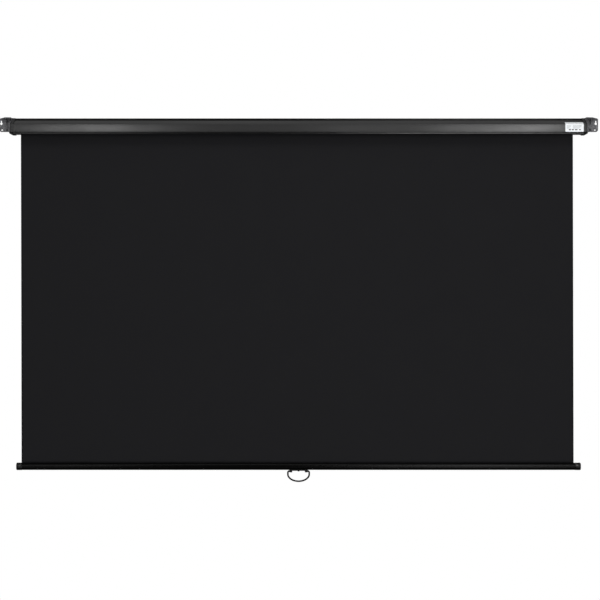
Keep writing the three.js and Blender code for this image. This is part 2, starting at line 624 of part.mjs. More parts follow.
// Spring collar on the spindle and spring anchor in the tube
const springCollar = turned([
  [boreRadius, collarStart], [COLLAR_RADIUS, collarStart],
  [COLLAR_RADIUS, collarEnd], [boreRadius, collarEnd],
]);
const anchorStart = anchorEnd - ANCHOR_LENGTH;
const springAnchor = turned([
  [0, anchorStart], [plugRadius, anchorStart], [plugRadius, anchorEnd], [spindleBore, anchorEnd],
  [spindleBore, spindleEnd - RUNNING_GAP], [0, spindleEnd - RUNNING_GAP],
]);

// A round wire along a line of points
function wire(points, radius, sides, steps) {
  const path = new THREE.CatmullRomCurve3(points, false, 'centripetal');
  const geometry = new THREE.ExtrudeGeometry(
    shapeOf(circle(0, 0, radius, sides)), { steps, extrudePath: path, bevelEnabled: false });
  return solidOf(geometry);
}

// Torsion spring: a helix with a straight leg at each end
function springPoints() {
  const from = anchorEnd + SEAT_GAP;
  const to = collarStart - SEAT_GAP;
  const coilFrom = from + SPRING_LEG;
  const coilTo = to - SPRING_LEG;
  const steps = SPRING_TURNS * SPRING_STEPS_PER_TURN;
  const points = [new THREE.Vector3(from, SPRING_RADIUS, 0)];
  for (let step = 0; step <= steps; step += 1) {
    const turn = (2 * Math.PI * step) / SPRING_STEPS_PER_TURN;
    const x = coilFrom + ((coilTo - coilFrom) * step) / steps;
    points.push(new THREE.Vector3(x, SPRING_RADIUS * Math.cos(turn), SPRING_RADIUS * Math.sin(turn)));
  }
  points.push(new THREE.Vector3(to, SPRING_RADIUS, 0));
  return points;
}

const springSteps = SPRING_TURNS * SPRING_STEPS_PER_TURN + 2 * SPRING_LEG_STEPS;
const torsionSpring = wire(springPoints(), SPRING_WIRE_RADIUS, SPRING_SIDES, springSteps);

// Label: thin, folded over the edge between the front face and the sloping facet
const slopeLength = Math.hypot(slopeBack - caseFront, hemBottom - faceTop);
const foldShare = LABEL_FOLD / slopeLength;
const labelFace = [
  [caseFront, caseBottom + LABEL_RISE],
  [caseFront, faceTop],
  [caseFront + (slopeBack - caseFront) * foldShare, faceTop + (hemBottom - faceTop) * foldShare],
];
const labelLine = offset(labelFace, -SEAT_GAP - LABEL_THICKNESS);
const labelEnd = caseEnd - LABEL_END_INSET;
const label = bar(sheetSection(labelLine, LABEL_THICKNESS), labelEnd - LABEL_WIDTH, labelEnd);

// Weight bar and what it holds, drawn about the middle of its section

// The oblong as a closed outline: an upper and a lower half circle joined by straight sides.
function oblongOutline(radius) {
  const half = (from, middle) => Array.from({ length: HALF_ROUND_STEPS + 1 }, (_, step) => {
    const turn = from + (Math.PI * step) / HALF_ROUND_STEPS;
    return [radius * Math.sin(turn), middle + radius * Math.cos(turn)];
  });
  return [...half(-Math.PI / 2, barHalfStraight), ...half(Math.PI / 2, -barHalfStraight)];
}

// The same outline as an open line that starts and ends at the slot on top.
function slottedLine() {
  const slotAngle = Math.asin(BAR_SLOT / 2 / barRadius);
  const arc = (from, to, middle) => Array.from({ length: HALF_ROUND_STEPS + 1 }, (_, step) => {
    const turn = from + ((to - from) * step) / HALF_ROUND_STEPS;
    return [barRadius * Math.sin(turn), middle + barRadius * Math.cos(turn)];
  });
  return [
    ...arc(slotAngle, Math.PI / 2, barHalfStraight),
    ...arc(Math.PI / 2, 1.5 * Math.PI, -barHalfStraight),
    ...arc(1.5 * Math.PI, 2 * Math.PI - slotAngle, barHalfStraight),
  ];
}

// A round upright hole or rod at the middle of the bar's length
const upright = (radius, from, to) => slab(shapeOf(circle(0, 0, radius)), from, to);

const halfHeight = BAR_HEIGHT / 2;
const weightBar = cut(
  bar(sheetSection(slottedLine(), BAR_WALL), -barEnd, barEnd),
  upright(HANDLE_SCREW_RADIUS + SEAT_GAP, -halfHeight - CUT_OVERRUN, -halfHeight + BAR_WALL + CUT_OVERRUN));
const barCapStart = barEnd + SEAT_GAP;
const barCapStem = barEnd - BAR_CAP_STEM;
const sheetEdgeRoom = rectangle(
  -BAR_SLOT / 2, halfHeight - BAR_WALL - SEAT_GAP, BAR_SLOT / 2, halfHeight + CUT_OVERRUN);
const capHead = shapeOf(oblongOutline(barRadius + BAR_CAP_PROUD));
const capStem = shapeOf(oblongOutline(barRadius - BAR_WALL - SEAT_GAP));
const barCap = cut(
  join(
    bar(capHead, barCapStart, barCapStart + BAR_CAP_LENGTH, BAR_CAP_ROUND),
    bar(capHead, barCapStart, barCapStart + BAR_CAP_LENGTH / 2),
    bar(capStem, barCapStem, barCapStart + BAR_CAP_LENGTH / 2)),
  bar(shapeOf(sheetEdgeRoom), barCapStem, SEAT_GAP - sheetLeft));

// Hem: the sheet's lower edge, sewn round a rod that the bar's slot holds
const hemEnd = barCapStem - SEAT_GAP;
const hemRod = rod(0, 0, HEM_ROD_RADIUS, HEM_ROD_INSET - hemEnd, hemEnd - HEM_ROD_INSET);
const hemSleeve = bar(ring(sleeveRadius, HEM_ROD_RADIUS + SEAT_GAP), -hemEnd, hemEnd);
const sheetBottom = hemZ + sleeveRadius + SEAT_GAP;
const halfSheet = SHEET_THICKNESS / 2;
const sheetOutline = rectangle(-halfSheet, sheetBottom, halfSheet, rollerZ);
const screenSheet = bar(shapeOf(sheetOutline), sheetLeft, sheetRight);

// Handle saddle: a curved strap under the bar with two lugs for the bail
function saddleSolid() {
  const outer = barRadius + SEAT_GAP + SADDLE_THICKNESS;
  const wrap = THREE.MathUtils.degToRad(SADDLE_ANGLE);
  const line = Array.from({ length: HALF_ROUND_STEPS + 1 }, (_, step) => {
    const turn = Math.PI - wrap + (2 * wrap * step) / HALF_ROUND_STEPS;
    return [outer * Math.sin(turn), -barHalfStraight + outer * Math.cos(turn)];
  });
  const strap = bar(sheetSection(line, SADDLE_THICKNESS), -SADDLE_LENGTH / 2, SADDLE_LENGTH / 2);
  const axis = bailZ - barMiddle;
  const lugs = [-1, 1].map((side) => {
    const middle = (side * LUG_SPACING) / 2;
    return rod(0, axis, lugRadius, middle - LUG_WIDTH / 2, middle + LUG_WIDTH / 2, ROUND_SIDES);
  });
  const barRoom = bar(shapeOf(oblongOutline(barRadius + SEAT_GAP)), -SADDLE_LENGTH, SADDLE_LENGTH);
  const wireHole = rod(0, axis, WIRE_RADIUS + SEAT_GAP, -SADDLE_LENGTH, SADDLE_LENGTH);
  const between = LUG_SPACING / 2 - LUG_WIDTH / 2;
  const keptStrap = cut(
    strap, upright(HANDLE_SCREW_RADIUS + SEAT_GAP, axis - lugRadius, -halfHeight + CUT_OVERRUN));
  const lugRoom = rod(0, axis, WIRE_RADIUS + SEAT_GAP, -between, between);
  return cut(join(keptStrap, cut(join(...lugs), barRoom)), cut(wireHole, lugRoom));
}

// Handle screw, head down, through the saddle into the bar
const handleScrewLength = SADDLE_THICKNESS + HANDLE_SCREW_GRIP;
const handleScrew = panHead(
  HANDLE_SCREW_HEAD_RADIUS, HANDLE_SCREW_HEAD_HEIGHT, HANDLE_SCREW_RADIUS, handleScrewLength);

// Bail: one bent wire whose ends turn into the lugs, drawn about its pivot axis
function bailPoints() {
  const innerEnd = LUG_SPACING / 2 - LUG_WIDTH / 2 + SEAT_GAP;
  const right = [new THREE.Vector3(innerEnd, 0, 0)];
  const corner = BAIL_HALF_WIDTH - BAIL_BEND;
  for (let step = 0; step <= BEND_STEPS; step += 1) {
    const turn = (Math.PI / 2) * (step / BEND_STEPS);
    right.push(new THREE.Vector3(
      corner + BAIL_BEND * Math.sin(turn), 0, -BAIL_BEND + BAIL_BEND * Math.cos(turn)));
  }
  const bowSteps = 2 * HALF_ROUND_STEPS;
  const bow = Array.from({ length: bowSteps + 1 }, (_, step) => {
    const turn = (Math.PI * step) / bowSteps;
    return new THREE.Vector3(
      BAIL_HALF_WIDTH * Math.cos(turn), 0, -BAIL_SHOULDER - (BAIL_DROP - BAIL_SHOULDER) * Math.sin(turn));
  });
  const left = right.map((p) => new THREE.Vector3(-p.x, 0, p.z)).reverse();
  return [...right, ...bow, ...left];
}

const bail = wire(bailPoints(), WIRE_RADIUS, WIRE_SIDES, BAIL_STEPS);

// Assembly
const at = (x, y, z) => {
  const group = new THREE.Group();
  group.position.set(x, y, z);
  return group;
};
const screen = new THREE.Group();

screen.add(
  piece('case_shell', caseShell, paintedCase),
  piece('right_end_cap', endCap, capPlastic),
  piece('left_end_cap', otherEnd(endCap), capPlastic),
  piece('right_mount_bracket', bracket, bracketPaint),
  piece('left_mount_bracket', otherEnd(bracket), bracketPaint),
  piece('label', label, labelPaper),
);

['upper', 'lower'].forEach((name, i) => {
  const [y, z] = screwPlaces[i];
  const right = piece(`right_${name}_cap_screw`, capScrew, blackSteel);
  right.position.set(screwSeat, y, z);
  const left = piece(`left_${name}_cap_screw`, otherEnd(capScrew), blackSteel);
  left.position.set(-screwSeat, y, z);
  screen.add(right, left);
});

[['right', 1], ['left', -1]].forEach(([name, side]) => {
  const plug = piece(`${name}_hole_plug`, holePlug, capPlastic);
  plug.rotation.z = -Math.PI / 2;
  plug.position.set(side * (earEnd - PLUG_HOLE_EDGE), -PLATE - SEAT_GAP, LOCK_HOLE_HEIGHT);
  screen.add(plug);
});

const rollerAxis = at(0, rollerY, rollerZ);
rollerAxis.add(
  piece('pin_bush', otherEnd(pinBush), paleNylon),
  piece('tang_socket', tangSocket, paleNylon),
  piece('spindle', spindle, plainSteel),
  piece('ratchet_wheel', ratchetWheel, plainSteel),
  piece('spring_collar', springCollar, paleNylon),
  piece('torsion_spring', torsionSpring, plainSteel),
  piece('roller_tube', rollerTube, plainSteel),
  piece('roller_wrap', rollerWrap, sheetCloth),
  piece('pin_plug', pinPlug, paleNylon),
  piece('gudgeon_pin', gudgeonPin, plainSteel),
  piece('ratchet_plug', ratchetPlug, paleNylon),
  piece('spring_anchor', springAnchor, paleNylon),
);
['upper', 'lower'].forEach((name, i) => {
  const pivot = at(0, ...pawlPinPlaces[i]);
  pivot.add(
    piece(`${name}_pawl`, pawlSolid(pawlAngles[i]), plainSteel),
    piece(`${name}_pawl_pin`, pawlPin, plainSteel),
  );
  rollerAxis.add(pivot);
});
screen.add(rollerAxis);

const sheetPlane = at(0, sheetY, 0);
sheetPlane.add(piece('screen_sheet', screenSheet, sheetCloth));
const hemAxis = at(0, 0, hemZ);
hemAxis.add(piece('hem_rod', hemRod, plainSteel), piece('hem_sleeve', hemSleeve, sheetCloth));
const barAxis = at(0, 0, barMiddle);
barAxis.add(
  piece('weight_bar', weightBar, barPaint),
  piece('right_bar_cap', barCap, barPlastic),
  piece('left_bar_cap', otherEnd(barCap), barPlastic),
  piece('handle_saddle', saddleSolid(), barPlastic),
);
const screw = piece('handle_screw', handleScrew, blackSteel);
screw.rotation.y = Math.PI / 2;
screw.position.z = saddleBottom - SEAT_GAP;
const bailAxis = at(0, 0, bailZ);
bailAxis.add(piece('pull_handle', bail, blackSteel));
sheetPlane.add(hemAxis, barAxis, screw, bailAxis);
screen.add(sheetPlane);

export default screen;
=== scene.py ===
# A pull-down projector screen, drawn down to its full height, finished for its renders.
# Lengths are in metres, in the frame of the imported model: X along the housing, -Y towards
# the room, +Z up, with the wall at y = 0. A name that ends in _mm stands for millimetres.
import math

import bmesh
import bpy
from mathutils import Matrix, Vector


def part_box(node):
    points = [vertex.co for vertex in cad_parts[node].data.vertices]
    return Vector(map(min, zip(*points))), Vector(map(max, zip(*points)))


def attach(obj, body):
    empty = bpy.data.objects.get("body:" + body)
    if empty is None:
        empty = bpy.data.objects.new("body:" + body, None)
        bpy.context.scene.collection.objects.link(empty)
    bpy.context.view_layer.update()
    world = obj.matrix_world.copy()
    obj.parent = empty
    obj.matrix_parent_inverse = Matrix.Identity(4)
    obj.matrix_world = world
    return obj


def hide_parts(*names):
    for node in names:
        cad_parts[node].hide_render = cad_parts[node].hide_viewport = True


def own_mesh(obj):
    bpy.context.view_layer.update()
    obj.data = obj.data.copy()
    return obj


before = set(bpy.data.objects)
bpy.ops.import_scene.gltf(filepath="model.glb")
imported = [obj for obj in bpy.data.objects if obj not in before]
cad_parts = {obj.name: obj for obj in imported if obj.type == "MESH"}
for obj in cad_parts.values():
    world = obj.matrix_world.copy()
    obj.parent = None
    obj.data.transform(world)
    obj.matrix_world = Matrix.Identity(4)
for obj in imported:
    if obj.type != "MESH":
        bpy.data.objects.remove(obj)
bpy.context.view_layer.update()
scene = bpy.context.scene

MM = 0.001
WELD = 0.01 * MM
SIDES = ("left", "right")


def linear(code):
    """Turns an sRGB hex colour into a linear one."""
    channels = [int(code[i : i + 2], 16) / 255 for i in (1, 3, 5)]
    light = [c / 12.92 if c <= 0.04045 else ((c + 0.055) / 1.055) ** 2.4 for c in channels]
    return (*light, 1)


def add_node(tree, kind, inputs=(), **settings):
    """Adds a node, sets its properties, and sets or links its inputs."""
    node = tree.nodes.new(kind)
    for name, value in settings.items():
        setattr(node, name, value)
    for socket, value in dict(inputs).items():
        if isinstance(value, bpy.types.NodeSocket):
            tree.links.new(value, node.inputs[socket])
        else:
            node.inputs[socket].default_value = value
    return node


# ---------------------------------------------------------------- camera

# A long lens looks straight at the wall, level with the middle of the hanging sheet.
eye = bpy.data.cameras.new("camera")
eye.sensor_width = 36
eye.lens = 75.67
camera = bpy.data.objects.new("camera", eye)
camera.location = (0.006, -5.212, -0.714)
camera.rotation_euler = (math.radians(90), 0, 0)
scene.collection.objects.link(camera)
scene.camera = camera

# ---------------------------------------------------------------- finishes


def surface(name, **settings):
    """Starts a material: its tree, and its Principled shader with the constant values set."""
    material = bpy.data.materials.new(name)
    material.use_nodes = True
    tree = material.node_tree
    tree.nodes.clear()
    values = {key.replace("_", " "): value for key, value in settings.items()}
    shader = add_node(tree, "ShaderNodeBsdfPrincipled", values)
    add_node(tree, "ShaderNodeOutputMaterial", {"Surface": shader.outputs["BSDF"]})
    return material, tree, shader


def grain(tree, size_mm, stretch=(1, 1, 1), detail=2.0):
    """A noise whose blobs are size_mm across, longer along an axis by its stretch."""
    place = add_node(tree, "ShaderNodeTexCoord").outputs["Object"]
    scale = [1 / s for s in stretch]
    place = add_node(tree, "ShaderNodeMapping", {"Vector": place, "Scale": scale}).outputs[0]
    noise = {"Vector": place, "Scale": 1 / (size_mm * MM), "Detail": detail}
    return add_node(tree, "ShaderNodeTexNoise", noise).outputs[0]


def coloured(tree, shader, pattern, first, second):
    """Lets a pattern mix two sRGB colours in the shader."""
    colours = {"Factor": pattern, "A": linear(first), "B": linear(second)}
    mix = add_node(tree, "ShaderNodeMix", colours, data_type="RGBA")
    tree.links.new(mix.outputs["Result"], shader.inputs["Base Color"])


def roughened(tree, shader, pattern, low, high):
    """Spreads the middle of a pattern over a range of roughness in the shader."""
    span = {"Value": pattern, "From Min": 0.35, "From Max": 0.65, "To Min": low, "To Max": high}
    spread = add_node(tree, "ShaderNodeMapRange", span)
    tree.links.new(spread.outputs[0], shader.inputs["Roughness"])


def relief(tree, shader, height, depth_mm, strength=1.0, under=None):
    """Turns a height into bump on the shader, on top of an earlier bump if there is one."""
    values = {"Height": height, "Distance": depth_mm * MM, "Strength": strength}
    if under is not None:
        values["Normal"] = under
    normal = add_node(tree, "ShaderNodeBump", values).outputs[0]
    tree.links.new(normal, shader.inputs["Normal"])
    return normal


def powder_coated_case():
    """Satin black powder coat on roll-formed steel: a soft broad gleam, broken up by fine
    orange peel and bent a little where the long sheet isn't quite flat."""
    material, tree, shader = surface("black_powder_coat", IOR=1.5)
    fine = grain(tree, 1.6, detail=1)
    long_wave = grain(tree, 240, stretch=(1.5, 1, 1), detail=1)
    patches = grain(tree, 90, stretch=(3, 1, 1))
    coloured(tree, shader, patches, "#090909", "#0e0e0f")
    roughened(tree, shader, patches, 0.19, 0.25)
    wavy = relief(tree, shader, long_wave, 0.5)
    relief(tree, shader, fine, 0.02, under=wavy)
    return material


def spark_textured_abs():
    """Black ABS moulded in a spark-eroded tool: a fine even grain that dulls the gleam."""
    material, tree, shader = surface("black_moulded_abs", IOR=1.53)
    fine = grain(tree, 0.7, detail=3)
    patches = grain(tree, 18)
    coloured(tree, shader, patches, "#111112", "#161617")
    roughened(tree, shader, fine, 0.36, 0.52)
    relief(tree, shader, fine, 0.05, strength=0.6)
    return material


def textured_grey_coat():
    """Dark grey textured powder coat on the pressed brackets: a dry, pebbled grey, blotched
    where the coat is thick or thin, with painted shade darkening the hollows between the grains."""
    material, tree, shader = surface("grey_textured_powder_coat", IOR=1.5)
    pebbles = grain(tree, 0.9)
    blotches = add_node(tree, "ShaderNodeMapRange", {
        "Value": grain(tree, 7), "From Min": 0.4, "From Max": 0.6, "To Max": 0.7})
    # painted shade: the colour darkens where the pebbles, which also make the bump, are low, in
    # the hollows between the grains
    hollow_shade = add_node(tree, "ShaderNodeMapRange", {
        "Value": pebbles, "From Min": 0.38, "From Max": 0.55, "To Max": 0.3})
    coat = add_node(
        tree, "ShaderNodeMath", {0: blotches.outputs[0], 1: hollow_shade.outputs[0]}, operation="ADD")
    coloured(tree, shader, coat.outputs[0], "#434346", "#767679")
    roughened(tree, shader, pebbles, 0.62, 0.45)
    relief(tree, shader, pebbles, 0.09, strength=0.8)
    return material


def soft_black_rubber():
    """Black rubber of the push-in plugs, near black with almost no gleam: painted shade, so that
    they read as dark holes.
    """
    material, tree, shader = surface("soft_black_rubber", IOR=1.5, Specular_IOR_Level=0.1)
    bloom = grain(tree, 1.5)
    coloured(tree, shader, bloom, "#030303", "#080808")
    roughened(tree, shader, bloom, 0.6, 0.75)
    return material


def black_zinc():
    """Black passivated zinc on the screws: dark, with a faint oily gleam."""
    material, tree, shader = surface("black_zinc_plate", IOR=1.5, Metallic=0.3)
    stain = grain(tree, 6, detail=3)
    coloured(tree, shader, stain, "#070707", "#121213")
    roughened(tree, shader, stain, 0.3, 0.42)
    relief(tree, shader, grain(tree, 0.6), 0.01)
    return material


def dipped_wire():
    """Black plastic dip on the handle's wire: deep black, smooth and slightly uneven where
    the coating ran."""
    material, tree, shader = surface("black_dipped_wire", IOR=1.5, Specular_IOR_Level=0.25)
    run = grain(tree, 8, detail=1)
    coloured(tree, shader, run, "#040404", "#080808")
    roughened(tree, shader, run, 0.28, 0.4)
    relief(tree, shader, run, 0.12, strength=0.6)
    return material


def coated_film():
    """White polypropylene film of the label: smooth, with a low gleam and a faint drag of
    the adhesive under it."""
    material, tree, shader = surface("white_label_film", IOR=1.49)
    drag = grain(tree, 7, stretch=(3, 1, 1))
    coloured(tree, shader, drag, "#f6f9fb", "#f0f4f7")
    roughened(tree, shader, drag, 0.17, 0.24)
    relief(tree, shader, drag, 0.03, strength=0.5)
    return material


def label_ink(name, light, dark):
    """Thermal print on the label: flat grey, a little uneven where the film is rougher."""
    material, tree, shader = surface(name, IOR=1.5, Roughness=0.55)
    coloured(tree, shader, grain(tree, 1.2), light, dark)
    return material


def natural_nylon():
    """Unfilled nylon of bushes and plugs: milky and waxy, with light going a little way in."""
    material, tree, shader = surface(
        "natural_nylon", IOR=1.53, Subsurface_Weight=0.2, Subsurface_Scale=2 * MM)
    flow = grain(tree, 9, detail=1)
    coloured(tree, shader, flow, "#dcd9cf", "#cfcbbf")
    roughened(tree, shader, flow, 0.38, 0.5)
    relief(tree, shader, grain(tree, 0.8), 0.01)
    return material


def bright_zinc():
    """Bright zinc plate on the tube and rods: silvery, with fine drawing lines along them."""
    material, tree, shader = surface("bright_zinc_plate", Metallic=1)
    lines = grain(tree, 0.5, stretch=(60, 1, 1))
    spangle = grain(tree, 14, detail=1)
    coloured(tree, shader, spangle, "#b4b8ba", "#a3a7aa")
    roughened(tree, shader, lines, 0.24, 0.4)
    relief(tree, shader, lines, 0.01)
    return material


def oiled_spring_steel():
    """Oil-tempered spring wire and hardened pawls: grey-brown metal under a thin film of oil."""
    material, tree, shader = surface("oil_tempered_steel", Metallic=1)
    film = grain(tree, 5)
    coloured(tree, shader, film, "#6b6864", "#55524f")
    roughened(tree, shader, film, 0.22, 0.38)
    return material


def coated_cloth():
    """Matt black PVC-coated glass cloth: almost no gleam, and a plain weave that shows only
    close to, with painted shade between its threads. The threads are 0.4 mm apart on the real
    cloth and are drawn 1.6 mm apart."""
    material, tree, shader = surface("black_coated_cloth", IOR=1.45, Specular_IOR_Level=0.12)
    pitch = 1.6 * MM
    place = add_node(tree, "ShaderNodeUVMap", uv_map="cloth").outputs[0]
    axes = add_node(tree, "ShaderNodeSeparateXYZ", {0: place})
    waves = []
    for axis in ("X", "Y"):
        turn = add_node(
            tree, "ShaderNodeMath", {0: axes.outputs[axis], 1: 2 * math.pi / pitch},
            operation="MULTIPLY")
        wave = add_node(tree, "ShaderNodeMath", {0: turn.outputs[0]}, operation="SINE")
        waves.append(wave.outputs[0])
    weave = add_node(
        tree, "ShaderNodeMath", {0: waves[0], 1: waves[1]}, operation="MULTIPLY").outputs[0]
    # painted shade: the weave's colour darkens where its bump is low, between the threads, and
    # the cloud varies it at random
    shade = add_node(tree, "ShaderNodeMapRange", {"Value": weave, "From Min": -1})
    cloud = grain(tree, 160, detail=3)
    both = add_node(
        tree, "ShaderNodeMath", {0: shade.outputs[0], 1: cloud}, operation="MULTIPLY")
    coloured(tree, shader, both.outputs[0], "#19191b", "#202022")
    roughened(tree, shader, cloud, 0.72, 0.82)
    relief(tree, shader, weave, 0.02, strength=0.4)
    return material


def black_extrusion():
    """Black painted aluminium extrusion of the weight bar: deep black, with the die's fine
    lines running its whole length under the paint."""
    material, tree, shader = surface("black_painted_extrusion", IOR=1.5, Specular_IOR_Level=0.08)
    lines = grain(tree, 0.9, stretch=(400, 1, 1), detail=3)
    patches = grain(tree, 60, stretch=(4, 1, 1))
    coloured(tree, shader, patches, "#030303", "#050505")
    roughened(tree, shader, lines, 0.16, 0.26)
    relief(tree, shader, lines, 0.015)
    return material


def glossy_black_plastic():
    """Black nylon mouldings on the bar: smooth and a little glossier than the bar."""
    material, tree, shader = surface("black_moulded_nylon", IOR=1.53, Specular_IOR_Level=0.3)
    flow = grain(tree, 12)
    coloured(tree, shader, flow, "#040404", "#070707")
    roughened(tree, shader, flow, 0.25, 0.36)
    relief(tree, shader, grain(tree, 1.1), 0.012)
    return material


case_paint = powder_coated_case()
cap_plastic = spark_textured_abs()
bracket_paint = textured_grey_coat()
plug_hole_shade_rubber = soft_black_rubber()
black_steel = black_zinc()
handle_dip = dipped_wire()
label_film = coated_film()
pale_ink = label_ink("pale_grey_ink", "#c4c8ca", "#b4b8ba")
dark_ink = label_ink("dark_grey_ink", "#383b3d", "#2a2d2f")
nylon = natural_nylon()
plain_steel = bright_zinc()
spring_steel = oiled_spring_steel()
cloth = coated_cloth()
bar_paint = black_extrusion()
bar_plastic = glossy_black_plastic()

# ---------------------------------------------------------------- making pieces


def rounded(corners, steps=6):
    """An open line through corners (u, v, radius), with an arc in place of each corner that
    has a radius. The two ends have none."""
    points = []
    for i, (u, v, radius) in enumerate(corners):
        here = Vector((u, v))
        if radius == 0:
            points.append(here)
            continue
        before = (Vector(corners[i - 1][:2]) - here).normalized()
        after = (Vector(corners[i + 1][:2]) - here).normalized()
        half = before.angle(after) / 2
        centre = here + (before + after).normalized() * radius / math.sin(half)
        first = here + before * radius / math.tan(half) - centre
        last = here + after * radius / math.tan(half) - centre
        start = math.atan2(first.y, first.x)
        sweep = (math.atan2(last.y, last.x) - start + math.pi) % (2 * math.pi) - math.pi
        for step in range(steps + 1):
            turn = start + sweep * step / steps
            points.append(centre + radius * Vector((math.cos(turn), math.sin(turn))))
    return points


def beside(line, distance):
    """An open line moved to its right by a distance, with mitred corners."""
    moved = []
    for i, point in enumerate(line):
        before = (point - line[i - 1]).normalized() if i else None
        after = (line[i + 1] - point).normalized() if i < len(line) - 1 else None
        before, after = before or after, after or before
        mitre = Vector((before.y + after.y, -before.x - after.x))
        moved.append(point + mitre * distance / (1 + before.dot(after)))
    return moved


def mesh_object(name, points, faces, material):
    """A piece from points and faces, with one material."""
    mesh = bpy.data.meshes.new(name)
    mesh.from_pydata([tuple(p) for p in points], [], faces)
    mesh.materials.append(material)
    piece = bpy.data.objects.new(name, mesh)
    scene.collection.objects.link(piece)
    return piece


def facing_out(piece, crease=40):
    """Points the faces outwards and shades them smooth, apart from creases."""
    shape = bmesh.new()
    shape.from_mesh(piece.data)
    bmesh.ops.remove_doubles(shape, verts=shape.verts, dist=WELD)
    bmesh.ops.recalc_face_normals(shape, faces=shape.faces)
    for face in shape.faces:
        face.smooth = True
    for edge in shape.edges:
        if len(edge.link_faces) == 2 and edge.calc_face_angle() > math.radians(crease):
            edge.smooth = False
    shape.to_mesh(piece.data)
    shape.free()
    return piece


def baked(piece):
    """Applies the modifiers of a piece, so that a plain mesh at the origin is left."""
    evaluated = piece.evaluated_get(bpy.context.evaluated_depsgraph_get())
    mesh = bpy.data.meshes.new_from_object(evaluated)
    piece.modifiers.clear()
    piece.data = mesh
    mesh.name = piece.name
    return piece


def belongs(piece, body, slot, *nodes):
    """Lets a piece ride on its body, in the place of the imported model's nodes."""
    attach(piece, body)
    if nodes:
        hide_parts(*nodes)


def grid_faces(columns, rows):
    """The faces of a grid whose points lie row by row."""
    wide = columns + 1
    return [
        (k * wide + i, k * wide + i + 1, (k + 1) * wide + i + 1, (k + 1) * wide + i)
        for k in range(rows) for i in range(columns)]


def ringed(name, points, count, material):
    """A solid from rings of count points each, closed at its first and its last ring."""
    faces = [tuple(range(count)), tuple(range(len(points) - count, len(points)))]
    for i in range(len(points) // count - 1):
        here, beyond = i * count, (i + 1) * count
        for k in range(count):
            after = (k + 1) % count
            faces.append((here + k, here + after, beyond + after, beyond + k))
    return facing_out(mesh_object(name, points, faces, material))


def extruded(name, outline, low, high, spans, material):
    """A closed outline of (y, z) points carried along X in a number of spans."""
    stations = [low + (high - low) * i / spans for i in range(spans + 1)]
    points = [(x, p.x, p.y) for x in stations for p in outline]
    return ringed(name, points, len(outline), material)


def spun(name, profile, centre, axis, material, sides=40):
    """A round piece about an axis through a centre, from (radius, height) points."""
    turn = Vector(axis).to_track_quat("Z", "Y").to_matrix()
    points = []
    for radius, height in profile:
        for k in range(sides):
            angle = 2 * math.pi * k / sides
            ring = Vector((radius * math.cos(angle), radius * math.sin(angle), height))
            points.append(Vector(centre) + turn @ ring)
    return ringed(name, points, sides, material)


def softened(node, name, width_mm, material, crease=32):
    """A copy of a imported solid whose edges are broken, as a press or a mould leaves them."""
    piece = bpy.data.objects.new(name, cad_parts[node].data.copy())
    scene.collection.objects.link(piece)
    shape = bmesh.new()
    shape.from_mesh(piece.data)
    bmesh.ops.remove_doubles(shape, verts=shape.verts, dist=WELD)
    bmesh.ops.dissolve_limit(
        shape, angle_limit=math.radians(0.5), verts=shape.verts, edges=shape.edges)
    for face in shape.faces:
        face.smooth = True
    shape.to_mesh(piece.data)
    shape.free()
    piece.data.materials.clear()
    piece.data.materials.append(material)
    edge = piece.modifiers.new("broken edge", "BEVEL")
    edge.width = width_mm * MM
    edge.segments = 3
    edge.limit_method = "ANGLE"
    edge.angle_limit = math.radians(crease)
    edge.harden_normals = True
    return baked(piece)


# ---------------------------------------------------------------- trees


def new_tree(name, inputs):
    """A Geometry Nodes tree with a mesh in and out and the named inputs."""
    tree = bpy.data.node_groups.new(name, "GeometryNodeTree")
    tree.interface.new_socket("Geometry", in_out="INPUT", socket_type="NodeSocketGeometry")
    for label, kind in inputs.items():
        tree.interface.new_socket(label, in_out="INPUT", socket_type=f"NodeSocket{kind}")
    tree.interface.new_socket("Geometry", in_out="OUTPUT", socket_type="NodeSocketGeometry")
    return tree, add_node(tree, "NodeGroupInput")


def close_tree(tree, given, geometry, smooth=True):
    """Ends a tree with plain faces that carry the given material."""
    real = add_node(tree, "GeometryNodeRealizeInstances", {0: geometry}).outputs[0]
    shaded = add_node(tree, "GeometryNodeSetShadeSmooth", {0: real, "Shade Smooth": smooth})
    done = add_node(tree, "GeometryNodeSetMaterial", {
        0: shaded.outputs[0], "Material": given.outputs["Material"]})
    add_node(tree, "NodeGroupOutput", {0: done.outputs[0]})
    return tree


def grown(piece, tree, **values):
    """Runs a tree on a piece with its inputs set, and keeps the plain mesh."""
    modifier = piece.modifiers.new(tree.name, "NODES")
    modifier.node_group = tree
    for item in tree.interface.items_tree:
        if item.item_type == "SOCKET" and item.in_out == "INPUT" and item.name in values:
            modifier[item.identifier] = values[item.name]
    return baked(piece)


def bent_wire_tree():
    """A round wire along a line of edges."""
    tree, given = new_tree("bent_wire", {
        "Radius": "Float", "Sides": "Int", "Spacing": "Float", "Material": "Material"})
    line = add_node(tree, "GeometryNodeMeshToCurve", {0: given.outputs["Geometry"]}).outputs[0]
    even = add_node(tree, "GeometryNodeResampleCurve", {
        0: line, "Length": given.outputs["Spacing"]}, mode="LENGTH")
    section = add_node(tree, "GeometryNodeCurvePrimitiveCircle", {
        "Resolution": given.outputs["Sides"], "Radius": given.outputs["Radius"]})
    swept = add_node(tree, "GeometryNodeCurveToMesh", {
        "Curve": even.outputs[0], "Profile Curve": section.outputs[0], "Fill Caps": True})
    return close_tree(tree, given, swept.outputs[0])


